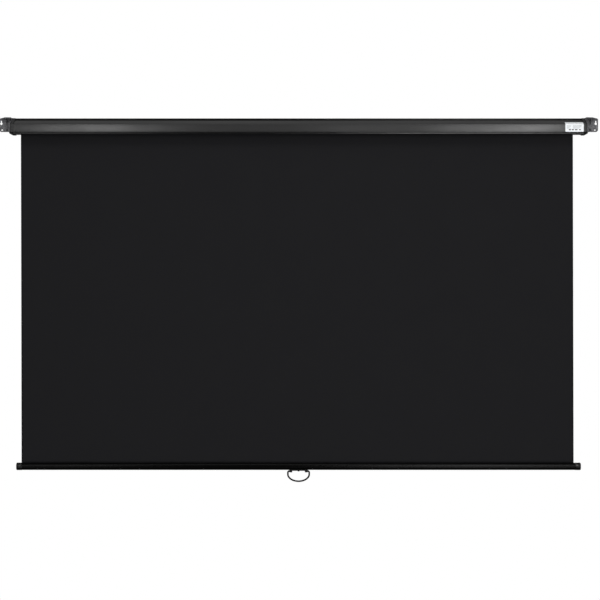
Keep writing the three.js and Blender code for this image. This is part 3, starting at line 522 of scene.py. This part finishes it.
def wound_cloth_tree():
    """Layers of cloth wound on a roller: a spiral about X with the cloth's thickness."""
    tree, given = new_tree("wound_cloth", {
        "Inner Radius": "Float", "Outer Radius": "Float", "Turns": "Float",
        "Thickness": "Float", "Width": "Float", "Centre": "Vector", "Material": "Material"})
    spiral = add_node(tree, "GeometryNodeCurveSpiral", {
        "Resolution": 96, "Rotations": given.outputs["Turns"], "Height": 0.0,
        "Start Radius": given.outputs["Inner Radius"],
        "End Radius": given.outputs["Outer Radius"]})
    section = add_node(tree, "GeometryNodeCurvePrimitiveQuadrilateral", {
        "Width": given.outputs["Thickness"], "Height": given.outputs["Width"]}, mode="RECTANGLE")
    wound = add_node(tree, "GeometryNodeCurveToMesh", {
        "Curve": spiral.outputs[0], "Profile Curve": section.outputs[0], "Fill Caps": True})
    placed = add_node(tree, "GeometryNodeTransform", {
        "Geometry": wound.outputs[0], "Translation": given.outputs["Centre"],
        "Rotation": (0, math.radians(90), 0)})
    return close_tree(tree, given, placed.outputs[0])


def printed_marks_tree():
    """Flat printed marks: one box at each point, as large as the point's size."""
    tree, given = new_tree("printed_marks", {"Material": "Material"})
    size = add_node(
        tree, "GeometryNodeInputNamedAttribute", {"Name": "size"}, data_type="FLOAT_VECTOR")
    mark = add_node(tree, "GeometryNodeMeshCube", {"Size": (1, 1, 1)}).outputs[0]
    placed = add_node(tree, "GeometryNodeInstanceOnPoints", {
        "Points": given.outputs["Geometry"], "Instance": mark, "Scale": size.outputs[0]})
    return close_tree(tree, given, placed.outputs[0], smooth=False)


def screws_tree():
    """One screw at each point, its head turned towards the point's facing."""
    tree, given = new_tree("screws", {"Screw": "Object", "Material": "Material"})
    facing = add_node(
        tree, "GeometryNodeInputNamedAttribute", {"Name": "facing"}, data_type="FLOAT_VECTOR")
    turn = add_node(
        tree, "FunctionNodeAlignRotationToVector", {"Vector": facing.outputs[0]}, axis="Z")
    screw = add_node(tree, "GeometryNodeObjectInfo", {"Object": given.outputs["Screw"]})
    placed = add_node(tree, "GeometryNodeInstanceOnPoints", {
        "Points": given.outputs["Geometry"], "Instance": screw.outputs["Geometry"],
        "Rotation": turn.outputs[0]})
    return close_tree(tree, given, placed.outputs[0])


bent_wire = bent_wire_tree()
wound_cloth = wound_cloth_tree()
printed_marks = printed_marks_tree()
screws_at_points = screws_tree()


def wire_piece(name, path, radius, sides, spacing, material):
    """A wire along a path of points."""
    mesh = bpy.data.meshes.new(name)
    mesh.from_pydata([tuple(p) for p in path], [(i, i + 1) for i in range(len(path) - 1)], [])
    piece = bpy.data.objects.new(name, mesh)
    scene.collection.objects.link(piece)
    grown(piece, bent_wire, Radius=radius, Sides=sides, Spacing=spacing, Material=material)
    return facing_out(piece)


def points_piece(name, places, **vectors):
    """A mesh of loose points that carry the named vectors."""
    mesh = bpy.data.meshes.new(name)
    mesh.from_pydata([tuple(p) for p in places], [], [])
    for attribute, values in vectors.items():
        layer = mesh.attributes.new(attribute, "FLOAT_VECTOR", "POINT")
        for entry, value in zip(layer.data, values):
            entry.vector = value
    piece = bpy.data.objects.new(name, mesh)
    scene.collection.objects.link(piece)
    return piece


# ---------------------------------------------------------------- housing

# The thickness of the steel, the radii of its wide and tight bends, and the places and sizes
# of its slot, face, slope, hem, rim, foot and folded lip.
STEEL = 1 * MM
BEND, CREASE = 1.6 * MM, 0.4 * MM
SLOT_HALF, SLOT_LIP = 8.5 * MM, 3.5 * MM
FACE_HEIGHT, FACE_FOOT = 36 * MM, 3.6 * MM
SLOPE_BACK = -22.5 * MM
HEM_FRONT, HEM_HEIGHT, HEM_LEAN = -21.5 * MM, 4.5 * MM, 2.7 * MM
RIM_RISE, RIM_OUT, RIM_BACK, RIM_END = 1.4 * MM, 0.8 * MM, 2.4 * MM, 3.9 * MM
FOOT_STEP, FOOT_RISE = 3.4 * MM, 0.8 * MM
FOLD, FOLD_TILT, FOLD_DROP = 2.2 * MM, 0.6 * MM, 2.4 * MM
FOLD_BEND = FOLD * 0.3

case_low, case_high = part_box("case_shell")
sheet_low, sheet_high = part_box("screen_sheet")
sheet_y = (sheet_low.y + sheet_high.y) / 2
slot_front, slot_back = sheet_y - SLOT_HALF, sheet_y + SLOT_HALF
bottom, top, front = case_low.z, case_high.z, case_low.y
face_top = bottom + FACE_HEIGHT
hem_bottom, hem_top = top - HEM_HEIGHT, top + RIM_RISE
foot, lip_low = front + FOOT_STEP, bottom - FOLD_DROP

# The front sheet meets the top under a hem that leans inwards, which shows as a dark line,
# and whose rim stands a little higher than the top. At its foot it steps back, which shows
# as another dark line, and hangs down in a folded lip, which shows as a thin pale one.
case_line = rounded([
    (slot_front, bottom + SLOT_LIP, 0),
    (slot_front, bottom, BEND),
    (foot + FOLD, bottom, CREASE),
    (foot + FOLD, lip_low, FOLD_BEND),
    (foot + FOLD_TILT, lip_low, FOLD_BEND),
    (foot, bottom + FOOT_RISE, CREASE),
    (front, bottom + FACE_FOOT, BEND),
    (front, face_top, BEND),
    (SLOPE_BACK, hem_bottom, CREASE),
    (HEM_FRONT + HEM_LEAN, hem_bottom, CREASE),
    (HEM_FRONT - RIM_OUT, hem_top, CREASE),
    (HEM_FRONT + RIM_BACK, hem_top, CREASE),
    (HEM_FRONT + RIM_END, top, CREASE),
    (0, top, BEND),
    (0, bottom, BEND),
    (slot_back, bottom, BEND),
    (slot_back, bottom + SLOT_LIP, 0),
])
housing = extruded(
    "housing_profile", case_line + beside(case_line, STEEL)[::-1], case_low.x, case_high.x, 24,
    case_paint)
belongs(housing, "housing", "case_paint", "case_shell")

# The walls of the step in a cap's plug, each with its y and the z of its upper edge, how far
# they reach below and beside that edge, and how much they lean.
PLUG_WALLS = ((-19.7 * MM, 31.2 * MM), (-17.7 * MM, 29.2 * MM))
PLUG_STEP, PLUG_EDGE, PLUG_LEAN = 5.6 * MM, 0.6 * MM, 0.6


def tucked(cap):
    """Leans the step of a cap's plug inwards, so that it stays behind the housing's hem."""
    for wall, upper_edge in PLUG_WALLS:
        for vertex in cap.data.vertices:
            below = upper_edge - vertex.co.z
            if abs(vertex.co.y - wall) < PLUG_EDGE and 0 < below < PLUG_STEP:
                vertex.co.y += PLUG_LEAN * below
    return cap


for side in SIDES:
    cap = tucked(softened(f"{side}_end_cap", f"{side}_end_cap_moulding", 0.5, cap_plastic))
    belongs(cap, "housing", "cap_plastic", f"{side}_end_cap")
    bracket = softened(f"{side}_mount_bracket", f"{side}_bracket_pressing", 0.45, bracket_paint)
    belongs(bracket, "housing", "bracket_paint", f"{side}_mount_bracket")

# ---------------------------------------------------------------- label

FILM, INK = 0.3 * MM, 0.03 * MM
LABEL_FOLD, LABEL_BEND, LABEL_CORNER = 18.5 * MM, 1.9 * MM, 3 * MM
LABEL_ROWS, LABEL_COLUMNS, CORNER_ROWS = 40, 8, 6

label_low, label_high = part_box("label")


def label_strip():
    """The label as one film with rounded corners, folded over the housing's upper edge."""
    flat = face_top - label_low.z
    height = flat + LABEL_FOLD
    width = label_high.x - label_low.x
    tilt = math.atan2(hem_bottom - face_top, SLOPE_BACK - front)
    arc = LABEL_BEND * (math.pi / 2 - tilt)
    start = flat - arc / 2
    corner = [LABEL_CORNER * k / CORNER_ROWS for k in range(CORNER_ROWS + 1)]
    even = [height * i / LABEL_ROWS for i in range(LABEL_ROWS + 1)]
    rows = sorted(set(even + corner + [height - up for up in corner]))
    points = []
    for up in rows:
        turn = min(max(up - start, 0), arc) / LABEL_BEND
        beyond = max(up - start - arc, 0)
        y = LABEL_BEND * (1 - math.cos(turn)) + beyond * math.sin(turn)
        z = min(up, start) + LABEL_BEND * math.sin(turn) + beyond * math.cos(turn)
        short = LABEL_CORNER - min(up, height - up, LABEL_CORNER)
        pull = LABEL_CORNER - math.sqrt(max(LABEL_CORNER**2 - short**2, 0))
        for k in range(LABEL_COLUMNS + 1):
            x = pull + (width - 2 * pull) * k / LABEL_COLUMNS
            points.append((label_low.x + x, label_low.y + y, label_low.z + z))
    return mesh_object(
        "folded_label", points, grid_faces(LABEL_COLUMNS, len(rows) - 1), label_film)


label = label_strip()
thick = label.modifiers.new("film", "SOLIDIFY")
thick.thickness = FILM
thick.offset = -1
facing_out(baked(label))
belongs(label, "housing", "label_paper", "label")

# The print, none of it readable: lines in two columns, and a row of dashes under them.
# Each is given by its start and its width, in millimetres from the label's left edge.
LINES = [(5, (20, 17, 19, 12, 18)), (30, (38, 35, 39, 31, 24))]
DASHES = [(14, 8), (26, 8), (39, 10), (56, 6)]


def mark(start_mm, width_mm, up_mm, height_mm):
    """The middle and the size of a printed mark on the label's upright face."""
    x = label_low.x + (start_mm + width_mm / 2) * MM
    middle = (x, label_low.y - 0.02 * MM, label_low.z + up_mm * MM)
    return middle, (width_mm * MM, INK, height_mm * MM)


lines = [
    mark(start, width, 26.2 - row * 3.1, 1.5)
    for start, widths in LINES for row, width in enumerate(widths)]
dashes = [mark(start, width, 8.3, 4.4) for start, width in DASHES]
for name, marks, ink in [
    ("label_lines", lines, pale_ink), ("label_dashes", dashes, dark_ink),
]:
    places, sizes = zip(*marks)
    printed = grown(points_piece(name, places, size=sizes), printed_marks, Material=ink)
    belongs(facing_out(printed), "housing", "label_paper")

# ---------------------------------------------------------------- fasteners


def cross_head_screw(name, head_radius, head_height, shank_radius, shank_length):
    """A pan-head screw along Z, its seat at the origin, with a cross recess and a thread."""
    root = shank_radius * 0.84
    pitch = 0.8 * MM
    thread = []
    for turn in range(int(shank_length / pitch)):
        low = -shank_length + turn * pitch
        thread += [(root, low), (shank_radius, low + pitch / 2)]
    turns = [math.radians(90 * k / 8) for k in range(8)]
    dome = [
        (head_radius * math.cos(t), head_height * (0.35 + 0.65 * math.sin(t))) for t in turns]
    profile = [
        (shank_radius * 0.5, -shank_length - 0.1 * MM), *thread, (root, 0),
        (head_radius * 0.96, 0), (head_radius, head_height * 0.08), *dome,
        (head_radius * 0.1, head_height)]
    screw = spun(name, profile, (0, 0, 0), (0, 0, 1), black_steel, sides=32)
    arms = bmesh.new()
    for across in (0, 90):
        turn = Matrix.Rotation(math.radians(across), 4, "Z")
        size = Matrix.Diagonal((head_radius * 1.15, head_radius * 0.24, head_height * 1.2, 1))
        place = Matrix.Translation((0, 0, head_height))
        bmesh.ops.create_cube(arms, size=1, matrix=place @ turn @ size)
    cross_mesh = bpy.data.meshes.new("cross")
    arms.to_mesh(cross_mesh)
    arms.free()
    cross = bpy.data.objects.new("cross", cross_mesh)
    scene.collection.objects.link(cross)
    recess = screw.modifiers.new("recess", "BOOLEAN")
    recess.object = cross
    recess.operation = "DIFFERENCE"
    recess.solver = "EXACT"
    recess.use_self = True
    baked(screw)
    bpy.data.objects.remove(cross)
    return facing_out(screw, crease=38)


CAP_HEAD, SADDLE_HEAD = 2.4 * MM, 2.2 * MM

cap_screw = cross_head_screw("cap_screw", 4.2 * MM, CAP_HEAD, 2 * MM, 11 * MM)
screw_nodes = [f"{side}_{row}_cap_screw" for side in SIDES for row in ("upper", "lower")]
screw_places, screw_facings = [], []
for node in screw_nodes:
    low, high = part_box(node)
    seat = high.x - CAP_HEAD if low.x > 0 else low.x + CAP_HEAD
    screw_places.append((seat, (low.y + high.y) / 2, (low.z + high.z) / 2))
    screw_facings.append((math.copysign(1, low.x), 0, 0))
cap_screws = grown(
    points_piece("cap_screws", screw_places, facing=screw_facings), screws_at_points,
    Screw=cap_screw, Material=black_steel)
bpy.data.objects.remove(cap_screw)
belongs(facing_out(cap_screws, crease=38), "housing", "black_steel", *screw_nodes)

saddle_screw = cross_head_screw("handle_screw_head", 4 * MM, SADDLE_HEAD, 1.8 * MM, 7.5 * MM)
low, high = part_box("handle_screw")
saddle_screw.data.transform(
    Matrix.Translation(((low.x + high.x) / 2, (low.y + high.y) / 2, low.z + SADDLE_HEAD))
    @ Matrix.Rotation(math.radians(180), 4, "X"))
belongs(saddle_screw, "weight_bar", "black_steel", "handle_screw")

# A push-in plug from its foot to its domed head: radius and height in millimetres,
# with the head's seat on the ear's front face at zero.
EAR_FRONT = -3.3 * MM
PLUG_PROFILE = [
    (0.8, -3), (2.0, -2.9), (2.2, -2.6), (2.2, 0), (3.3, 0), (3.4, 0.15), (3.35, 0.8),
    (3.0, 1.3), (2.3, 1.65), (1.2, 1.79), (0.3, 1.8)]
for side in SIDES:
    low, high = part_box(f"{side}_hole_plug")
    # each plug's near-black, gleamless rubber is painted shade that stands for a dark hole
    plug = spun(
        f"{side}_push_in_plug", [(radius * MM, height * MM) for radius, height in PLUG_PROFILE],
        ((low.x + high.x) / 2, EAR_FRONT, (low.z + high.z) / 2), (0, -1, 0), plug_hole_shade_rubber)
    belongs(plug, "housing", "cap_plastic", f"{side}_hole_plug")

# ---------------------------------------------------------------- sheet

CLOTH = 0.45 * MM
LEAN = 3 * MM
CURL, CURL_REACH = 0.9 * MM, 12 * MM
LONG_WAVE, SHORT_WAVE = 0.55 * MM, 0.3 * MM
width = sheet_high.x - sheet_low.x
length = sheet_high.z - sheet_low.z


def cloth_grid(name, columns, rows, place, size):
    """A grid of cloth with its own map in metres, where place(u, v) gives a point."""
    points = [place(i / columns, k / rows) for k in range(rows + 1) for i in range(columns + 1)]
    piece = mesh_object(name, points, grid_faces(columns, rows), cloth)
    layer = piece.data.uv_layers.new(name="cloth")
    for loop in piece.data.loops:
        k, i = divmod(loop.vertex_index, columns + 1)
        layer.data[loop.index].uv = (size[0] * i / columns, size[1] * k / rows)
    for face in piece.data.polygons:
        face.use_smooth = True
    skin = piece.modifiers.new("cloth", "SOLIDIFY")
    skin.thickness = CLOTH
    skin.offset = 0
    return baked(piece)


def hanging(u, v):
    """A point of the hanging sheet: flat, with slow shallow waves that die out at top and foot,
    side edges that roll back by less than a millimetre, and a lean from top to foot. The waves
    turn by 5.3 and 11.7 radians a metre, so that they don't repeat along the sheet."""
    x = sheet_low.x + width * u + LEAN * (0.5 - v)
    z = sheet_low.z + length * v
    held = math.sin(math.pi * v) ** 0.5 if 0 < v < 1 else 0
    long_wave = LONG_WAVE * math.sin(5.3 * x + 1.1 * math.sin(2.1 * z))
    short_wave = SHORT_WAVE * math.sin(11.7 * x - 2.3 * z + 0.8)
    curl = CURL * math.exp(-min(u, 1 - u) * width / CURL_REACH)
    return (x, sheet_y + held * (long_wave + short_wave + curl), z)


sheet = cloth_grid("screen_cloth", 220, 120, hanging, (width, length))
belongs(sheet, "housing", "sheet_cloth", "screen_sheet")
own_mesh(sheet)

wrap_low, wrap_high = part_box("roller_wrap")
roller_y, roller_z = (wrap_low.y + wrap_high.y) / 2, (wrap_low.z + wrap_high.z) / 2
wrap_radius = (wrap_high.y - wrap_low.y) / 2
wrap = grown(points_piece("roller_cloth", [(0, 0, 0)]), wound_cloth, **{
    "Inner Radius": wrap_radius - 1.5 * CLOTH,
    "Outer Radius": wrap_radius - CLOTH / 2 - 0.02 * MM,
    "Turns": 1.96, "Thickness": 0.4 * MM, "Width": wrap_high.x - wrap_low.x,
    "Centre": ((wrap_low.x + wrap_high.x) / 2, roller_y, roller_z), "Material": cloth})
facing_out(wrap)
wrap_map = wrap.data.uv_layers.new(name="cloth")
for loop in wrap.data.loops:
    point = wrap.data.vertices[loop.vertex_index].co
    turn = math.atan2(point.z - roller_z, point.y - roller_y)
    wrap_map.data[loop.index].uv = (point.x - wrap_low.x, wrap_radius * turn)
belongs(wrap, "roller", "sheet_cloth", "roller_wrap")

sleeve_low, sleeve_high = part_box("hem_sleeve")
sleeve_y, sleeve_z = (sleeve_low.y + sleeve_high.y) / 2, (sleeve_low.z + sleeve_high.z) / 2
sleeve_radius = (sleeve_high.y - sleeve_low.y) / 2 - CLOTH / 2
sleeve_length = sleeve_high.x - sleeve_low.x


def hem_loop(u, v):
    """A point of the hem: the sheet's foot, turned round the rod and sewn to itself."""
    turn = math.radians(94 + 352 * v)
    y = sleeve_y + sleeve_radius * math.cos(turn)
    return (sleeve_low.x + sleeve_length * u, y, sleeve_z + sleeve_radius * math.sin(turn))


hem = cloth_grid("hem_loop", 90, 36, hem_loop, (sleeve_length, 2 * math.pi * sleeve_radius))
belongs(hem, "weight_bar", "sheet_cloth", "hem_sleeve")

# ---------------------------------------------------------------- weight bar

BAR_WALL, BAR_SLOT_HALF = 1.2 * MM, 1.5 * MM

bar_low, bar_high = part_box("weight_bar")
bar_y, bar_z = (bar_low.y + bar_high.y) / 2, (bar_low.z + bar_high.z) / 2
bar_radius = (bar_high.y - bar_low.y) / 2
bar_half = (bar_high.z - bar_low.z) / 2 - bar_radius
slot_angle = math.asin(BAR_SLOT_HALF / bar_radius)


def arc(from_turn, to_turn, middle, steps=20):
    """An arc of the bar's section, its angle measured from straight up towards the wall."""
    turns = [from_turn + (to_turn - from_turn) * k / steps for k in range(steps + 1)]
    return [
        Vector((bar_y + bar_radius * math.sin(t), bar_z + middle + bar_radius * math.cos(t)))
        for t in turns]


bar_line = [
    *arc(slot_angle, math.pi / 2, bar_half),
    *arc(math.pi / 2, 1.5 * math.pi, -bar_half, 40),
    *arc(1.5 * math.pi, 2 * math.pi - slot_angle, bar_half),
]
bar = extruded(
    "bar_extrusion", bar_line + beside(bar_line, BAR_WALL)[::-1], bar_low.x, bar_high.x, 12,
    bar_paint)
belongs(bar, "weight_bar", "bar_paint", "weight_bar")

for side in SIDES:
    cap = softened(f"{side}_bar_cap", f"{side}_bar_cap_moulding", 0.4, bar_plastic, crease=50)
    belongs(cap, "weight_bar", "bar_plastic", f"{side}_bar_cap")
saddle = softened("handle_saddle", "handle_saddle_moulding", 0.4, bar_plastic, crease=40)
belongs(saddle, "weight_bar", "bar_plastic", "handle_saddle")

# ---------------------------------------------------------------- pull handle

# The middle of the lugs' axis, on which the handle swings.
PIVOT = Vector((0, sheet_y, -1419.2 * MM))
BAIL_END, BAIL_HALF, BAIL_BEND = 26.3 * MM, 44 * MM, 6 * MM
BAIL_SHOULDER, BAIL_DROP = 13 * MM, 41.8 * MM


def bail_path():
    """The middle of the handle's wire, from one inward end round the bow to the other."""
    right = [Vector((BAIL_END, 0, 0))]
    for k in range(11):
        turn = math.pi / 2 * k / 10
        x = BAIL_HALF - BAIL_BEND + BAIL_BEND * math.sin(turn)
        right.append(Vector((x, 0, BAIL_BEND * math.cos(turn) - BAIL_BEND)))
    bow = []
    for k in range(49):
        turn = math.pi * k / 48
        z = -BAIL_SHOULDER - (BAIL_DROP - BAIL_SHOULDER) * math.sin(turn)
        bow.append(Vector((BAIL_HALF * math.cos(turn), 0, z)))
    left = [Vector((-p.x, 0, p.z)) for p in reversed(right)]
    return [PIVOT + p for p in right + bow + left]


handle = wire_piece(
    "handle_bail", bail_path(), radius=3.4 * MM, sides=24, spacing=1.6 * MM, material=handle_dip)
belongs(handle, "pull_handle", "black_steel", "pull_handle")

# ---------------------------------------------------------------- roller and spring

SPRING_LEG, SPRING_RADIUS, SPRING_TURNS = 3 * MM, 11 * MM, 30
STEPS_PER_TURN = 20


def spring_path():
    """A torsion spring about the roller's axis, with a straight leg at each end."""
    low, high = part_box("torsion_spring")
    start, end = low.x + SPRING_LEG, high.x - SPRING_LEG
    steps = SPRING_TURNS * STEPS_PER_TURN
    path = [Vector((low.x, roller_y + SPRING_RADIUS, roller_z))]
    for k in range(steps + 1):
        turn = 2 * math.pi * k / STEPS_PER_TURN
        y = roller_y + SPRING_RADIUS * math.cos(turn)
        z = roller_z + SPRING_RADIUS * math.sin(turn)
        path.append(Vector((start + (end - start) * k / steps, y, z)))
    path.append(Vector((high.x, roller_y + SPRING_RADIUS, roller_z)))
    return path


spring = wire_piece(
    "wound_spring", spring_path(), radius=1 * MM, sides=8, spacing=3.4 * MM,
    material=spring_steel)
belongs(spring, "housing", "plain_steel", "torsion_spring")

# The turned, moulded and stamped pieces inside, with the width of their broken edges in mm.
for node, name, body, slot, material, edge in [
    ("pin_bush", "round_bush", "housing", "nylon", nylon, 0.4),
    ("tang_socket", "flat_bush", "housing", "nylon", nylon, 0.4),
    ("gudgeon_pin", "gudgeon_pin_turned", "roller", "plain_steel", plain_steel, 0.5),
    ("spindle", "spindle_turned", "housing", "plain_steel", plain_steel, 0.4),
    ("pin_plug", "pin_plug_moulding", "roller", "nylon", nylon, 0.4),
    ("ratchet_plug", "ratchet_plug_moulding", "roller", "nylon", nylon, 0.3),
    ("ratchet_wheel", "ratchet_wheel_cut", "housing", "plain_steel", spring_steel, 0.2),
    ("spring_collar", "spring_collar_moulding", "housing", "nylon", nylon, 0.4),
    ("upper_pawl", "upper_pawl_stamped", "upper_pawl", "plain_steel", spring_steel, 0.2),
    ("lower_pawl", "lower_pawl_stamped", "lower_pawl", "plain_steel", spring_steel, 0.2),
]:
    belongs(softened(node, name, edge, material), body, slot, node)

for node, material in [
    ("roller_tube", plain_steel), ("spring_anchor", nylon), ("upper_pawl_pin", plain_steel),
    ("lower_pawl_pin", plain_steel), ("hem_rod", plain_steel),
]:
    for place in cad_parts[node].material_slots:
        place.material = material

# ---------------------------------------------------------------- floor and light

FLOOR_HALF_WIDTH, FLOOR_FRONT, FLOOR_BACK, FLOOR_LEVEL = 4, -5, 1.2, -2.3


def pale_floor():
    """A plain floor of very pale grey matt paint, lifted towards white where it is seen, with
    the object's shadow on it. Seen from below it lets the view through."""
    material, tree, shader = surface("pale_floor_paint", Roughness=0.9, Specular_IOR_Level=0.1)
    coloured(tree, shader, grain(tree, 700), "#f4f4f3", "#efefee")
    rays = add_node(tree, "ShaderNodeLightPath")
    lift = add_node(
        tree, "ShaderNodeMath", {0: rays.outputs["Is Camera Ray"], 1: 0.35},
        operation="MULTIPLY")
    glow = add_node(tree, "ShaderNodeEmission", {"Strength": lift.outputs[0]})
    lit = add_node(tree, "ShaderNodeAddShader", {0: shader.outputs["BSDF"], 1: glow.outputs[0]})
    clear = add_node(tree, "ShaderNodeBsdfTransparent")
    below = add_node(tree, "ShaderNodeNewGeometry").outputs["Backfacing"]
    seen = add_node(tree, "ShaderNodeMixShader", {
        0: below, 1: lit.outputs[0], 2: clear.outputs[0]})
    output = next(node for node in tree.nodes if node.type == "OUTPUT_MATERIAL")
    tree.links.new(seen.outputs[0], output.inputs["Surface"])
    return material


floor_corners = [
    (-FLOOR_HALF_WIDTH, FLOOR_FRONT, FLOOR_LEVEL), (FLOOR_HALF_WIDTH, FLOOR_FRONT, FLOOR_LEVEL),
    (FLOOR_HALF_WIDTH, FLOOR_BACK, FLOOR_LEVEL), (-FLOOR_HALF_WIDTH, FLOOR_BACK, FLOOR_LEVEL)]
floor = mesh_object("floor", floor_corners, [(0, 1, 2, 3)], pale_floor())
floor.visible_glossy = False

# The world is plain white where it is seen, directly or through a clear piece. The gloss on
# the object shows a room that is dark below, brightest just above the horizon and dimmer
# overhead. Its places run from straight down at 0 to straight up at 1.
ROOM = [
    (0, 0.15), (0.04, 0.04), (0.505, 0.04), (0.54, 0.9), (0.57, 0.68), (0.8, 0.3), (1, 0.3)]
FILL_LIGHT = 0.48

world = bpy.data.worlds.new("studio")
scene.world = world
world.use_nodes = True
sky = world.node_tree
sky.nodes.clear()
rays = add_node(sky, "ShaderNodeLightPath")
direction = add_node(sky, "ShaderNodeTexCoord").outputs["Generated"]
height = add_node(sky, "ShaderNodeSeparateXYZ", {0: direction}).outputs["Z"]
climb = add_node(sky, "ShaderNodeMapRange", {"Value": height, "From Min": -1, "From Max": 1})
room = add_node(sky, "ShaderNodeValToRGB", {0: climb.outputs[0]})
stops = room.color_ramp.elements
for inner in ROOM[1:-1]:  # the ramp already has its two ends
    stops.new(inner[0])
for stop, (place, level) in zip(stops, ROOM):
    stop.position = place
    stop.color = (level, level, level, 1)
ambient = add_node(sky, "ShaderNodeMix", {
    0: rays.outputs["Is Glossy Ray"], "A": FILL_LIGHT, "B": room.outputs[0]})
through = add_node(sky, "ShaderNodeMath", {
    0: rays.outputs["Is Camera Ray"], 1: rays.outputs["Is Transmission Ray"]},
    operation="MAXIMUM")
strength = add_node(sky, "ShaderNodeMix", {
    0: through.outputs[0], "A": ambient.outputs[0], "B": 1.0})
background = add_node(sky, "ShaderNodeBackground", {
    "Color": (1, 1, 1, 1), "Strength": strength.outputs[0]})
add_node(sky, "ShaderNodeOutputWorld", {"Surface": background.outputs[0]})


def soft_box(name, place, target, size, power):
    """A rectangular studio lamp that faces its target."""
    lamp = bpy.data.lights.new(name, "AREA")
    lamp.shape = "RECTANGLE"
    lamp.size, lamp.size_y = size
    lamp.energy = power
    box = bpy.data.objects.new(name, lamp)
    box.location = place
    box.rotation_euler = (Vector(target) - Vector(place)).to_track_quat("-Z", "Y").to_euler()
    scene.collection.objects.link(box)


# Three high lamps at the front gleam in the housing's upright face, as bright patches with
# darker ones between. Two low ones light the sheet, the label and the lip at the housing's
# foot, the right one more. The rear and the overhead lamp edge the top and the back.
AT_HOUSING, AT_SHEET = (0, 0, 0), (0, 0, -0.6)
AT_SHEET_LEFT, AT_SHEET_RIGHT = (-0.3, 0, -0.7), (0.3, 0, -0.7)
soft_box("left_soft_box", (-1.69, -5.2, 0.7), AT_HOUSING, (0.5, 0.9), 11)
soft_box("middle_soft_box", (0.43, -5.2, 0.7), AT_HOUSING, (0.35, 0.9), 1.8)
soft_box("right_soft_box", (1.78, -5.2, 0.7), AT_HOUSING, (0.8, 0.9), 18)
soft_box("low_left_soft_box", (-2, -5.6, -1.4), AT_SHEET_LEFT, (0.9, 1.2), 13)
soft_box("low_right_soft_box", (1.45, -5.6, -1.4), AT_SHEET_RIGHT, (1.8, 1.2), 60)
soft_box("rear_soft_box", (0.5, 5.5, 2), AT_SHEET, (3.5, 1.2), 130)
soft_box("overhead_soft_box", (0.4, -3, 2.6), AT_SHEET, (3, 1.2), 35)

scene.view_settings.view_transform = "Standard"
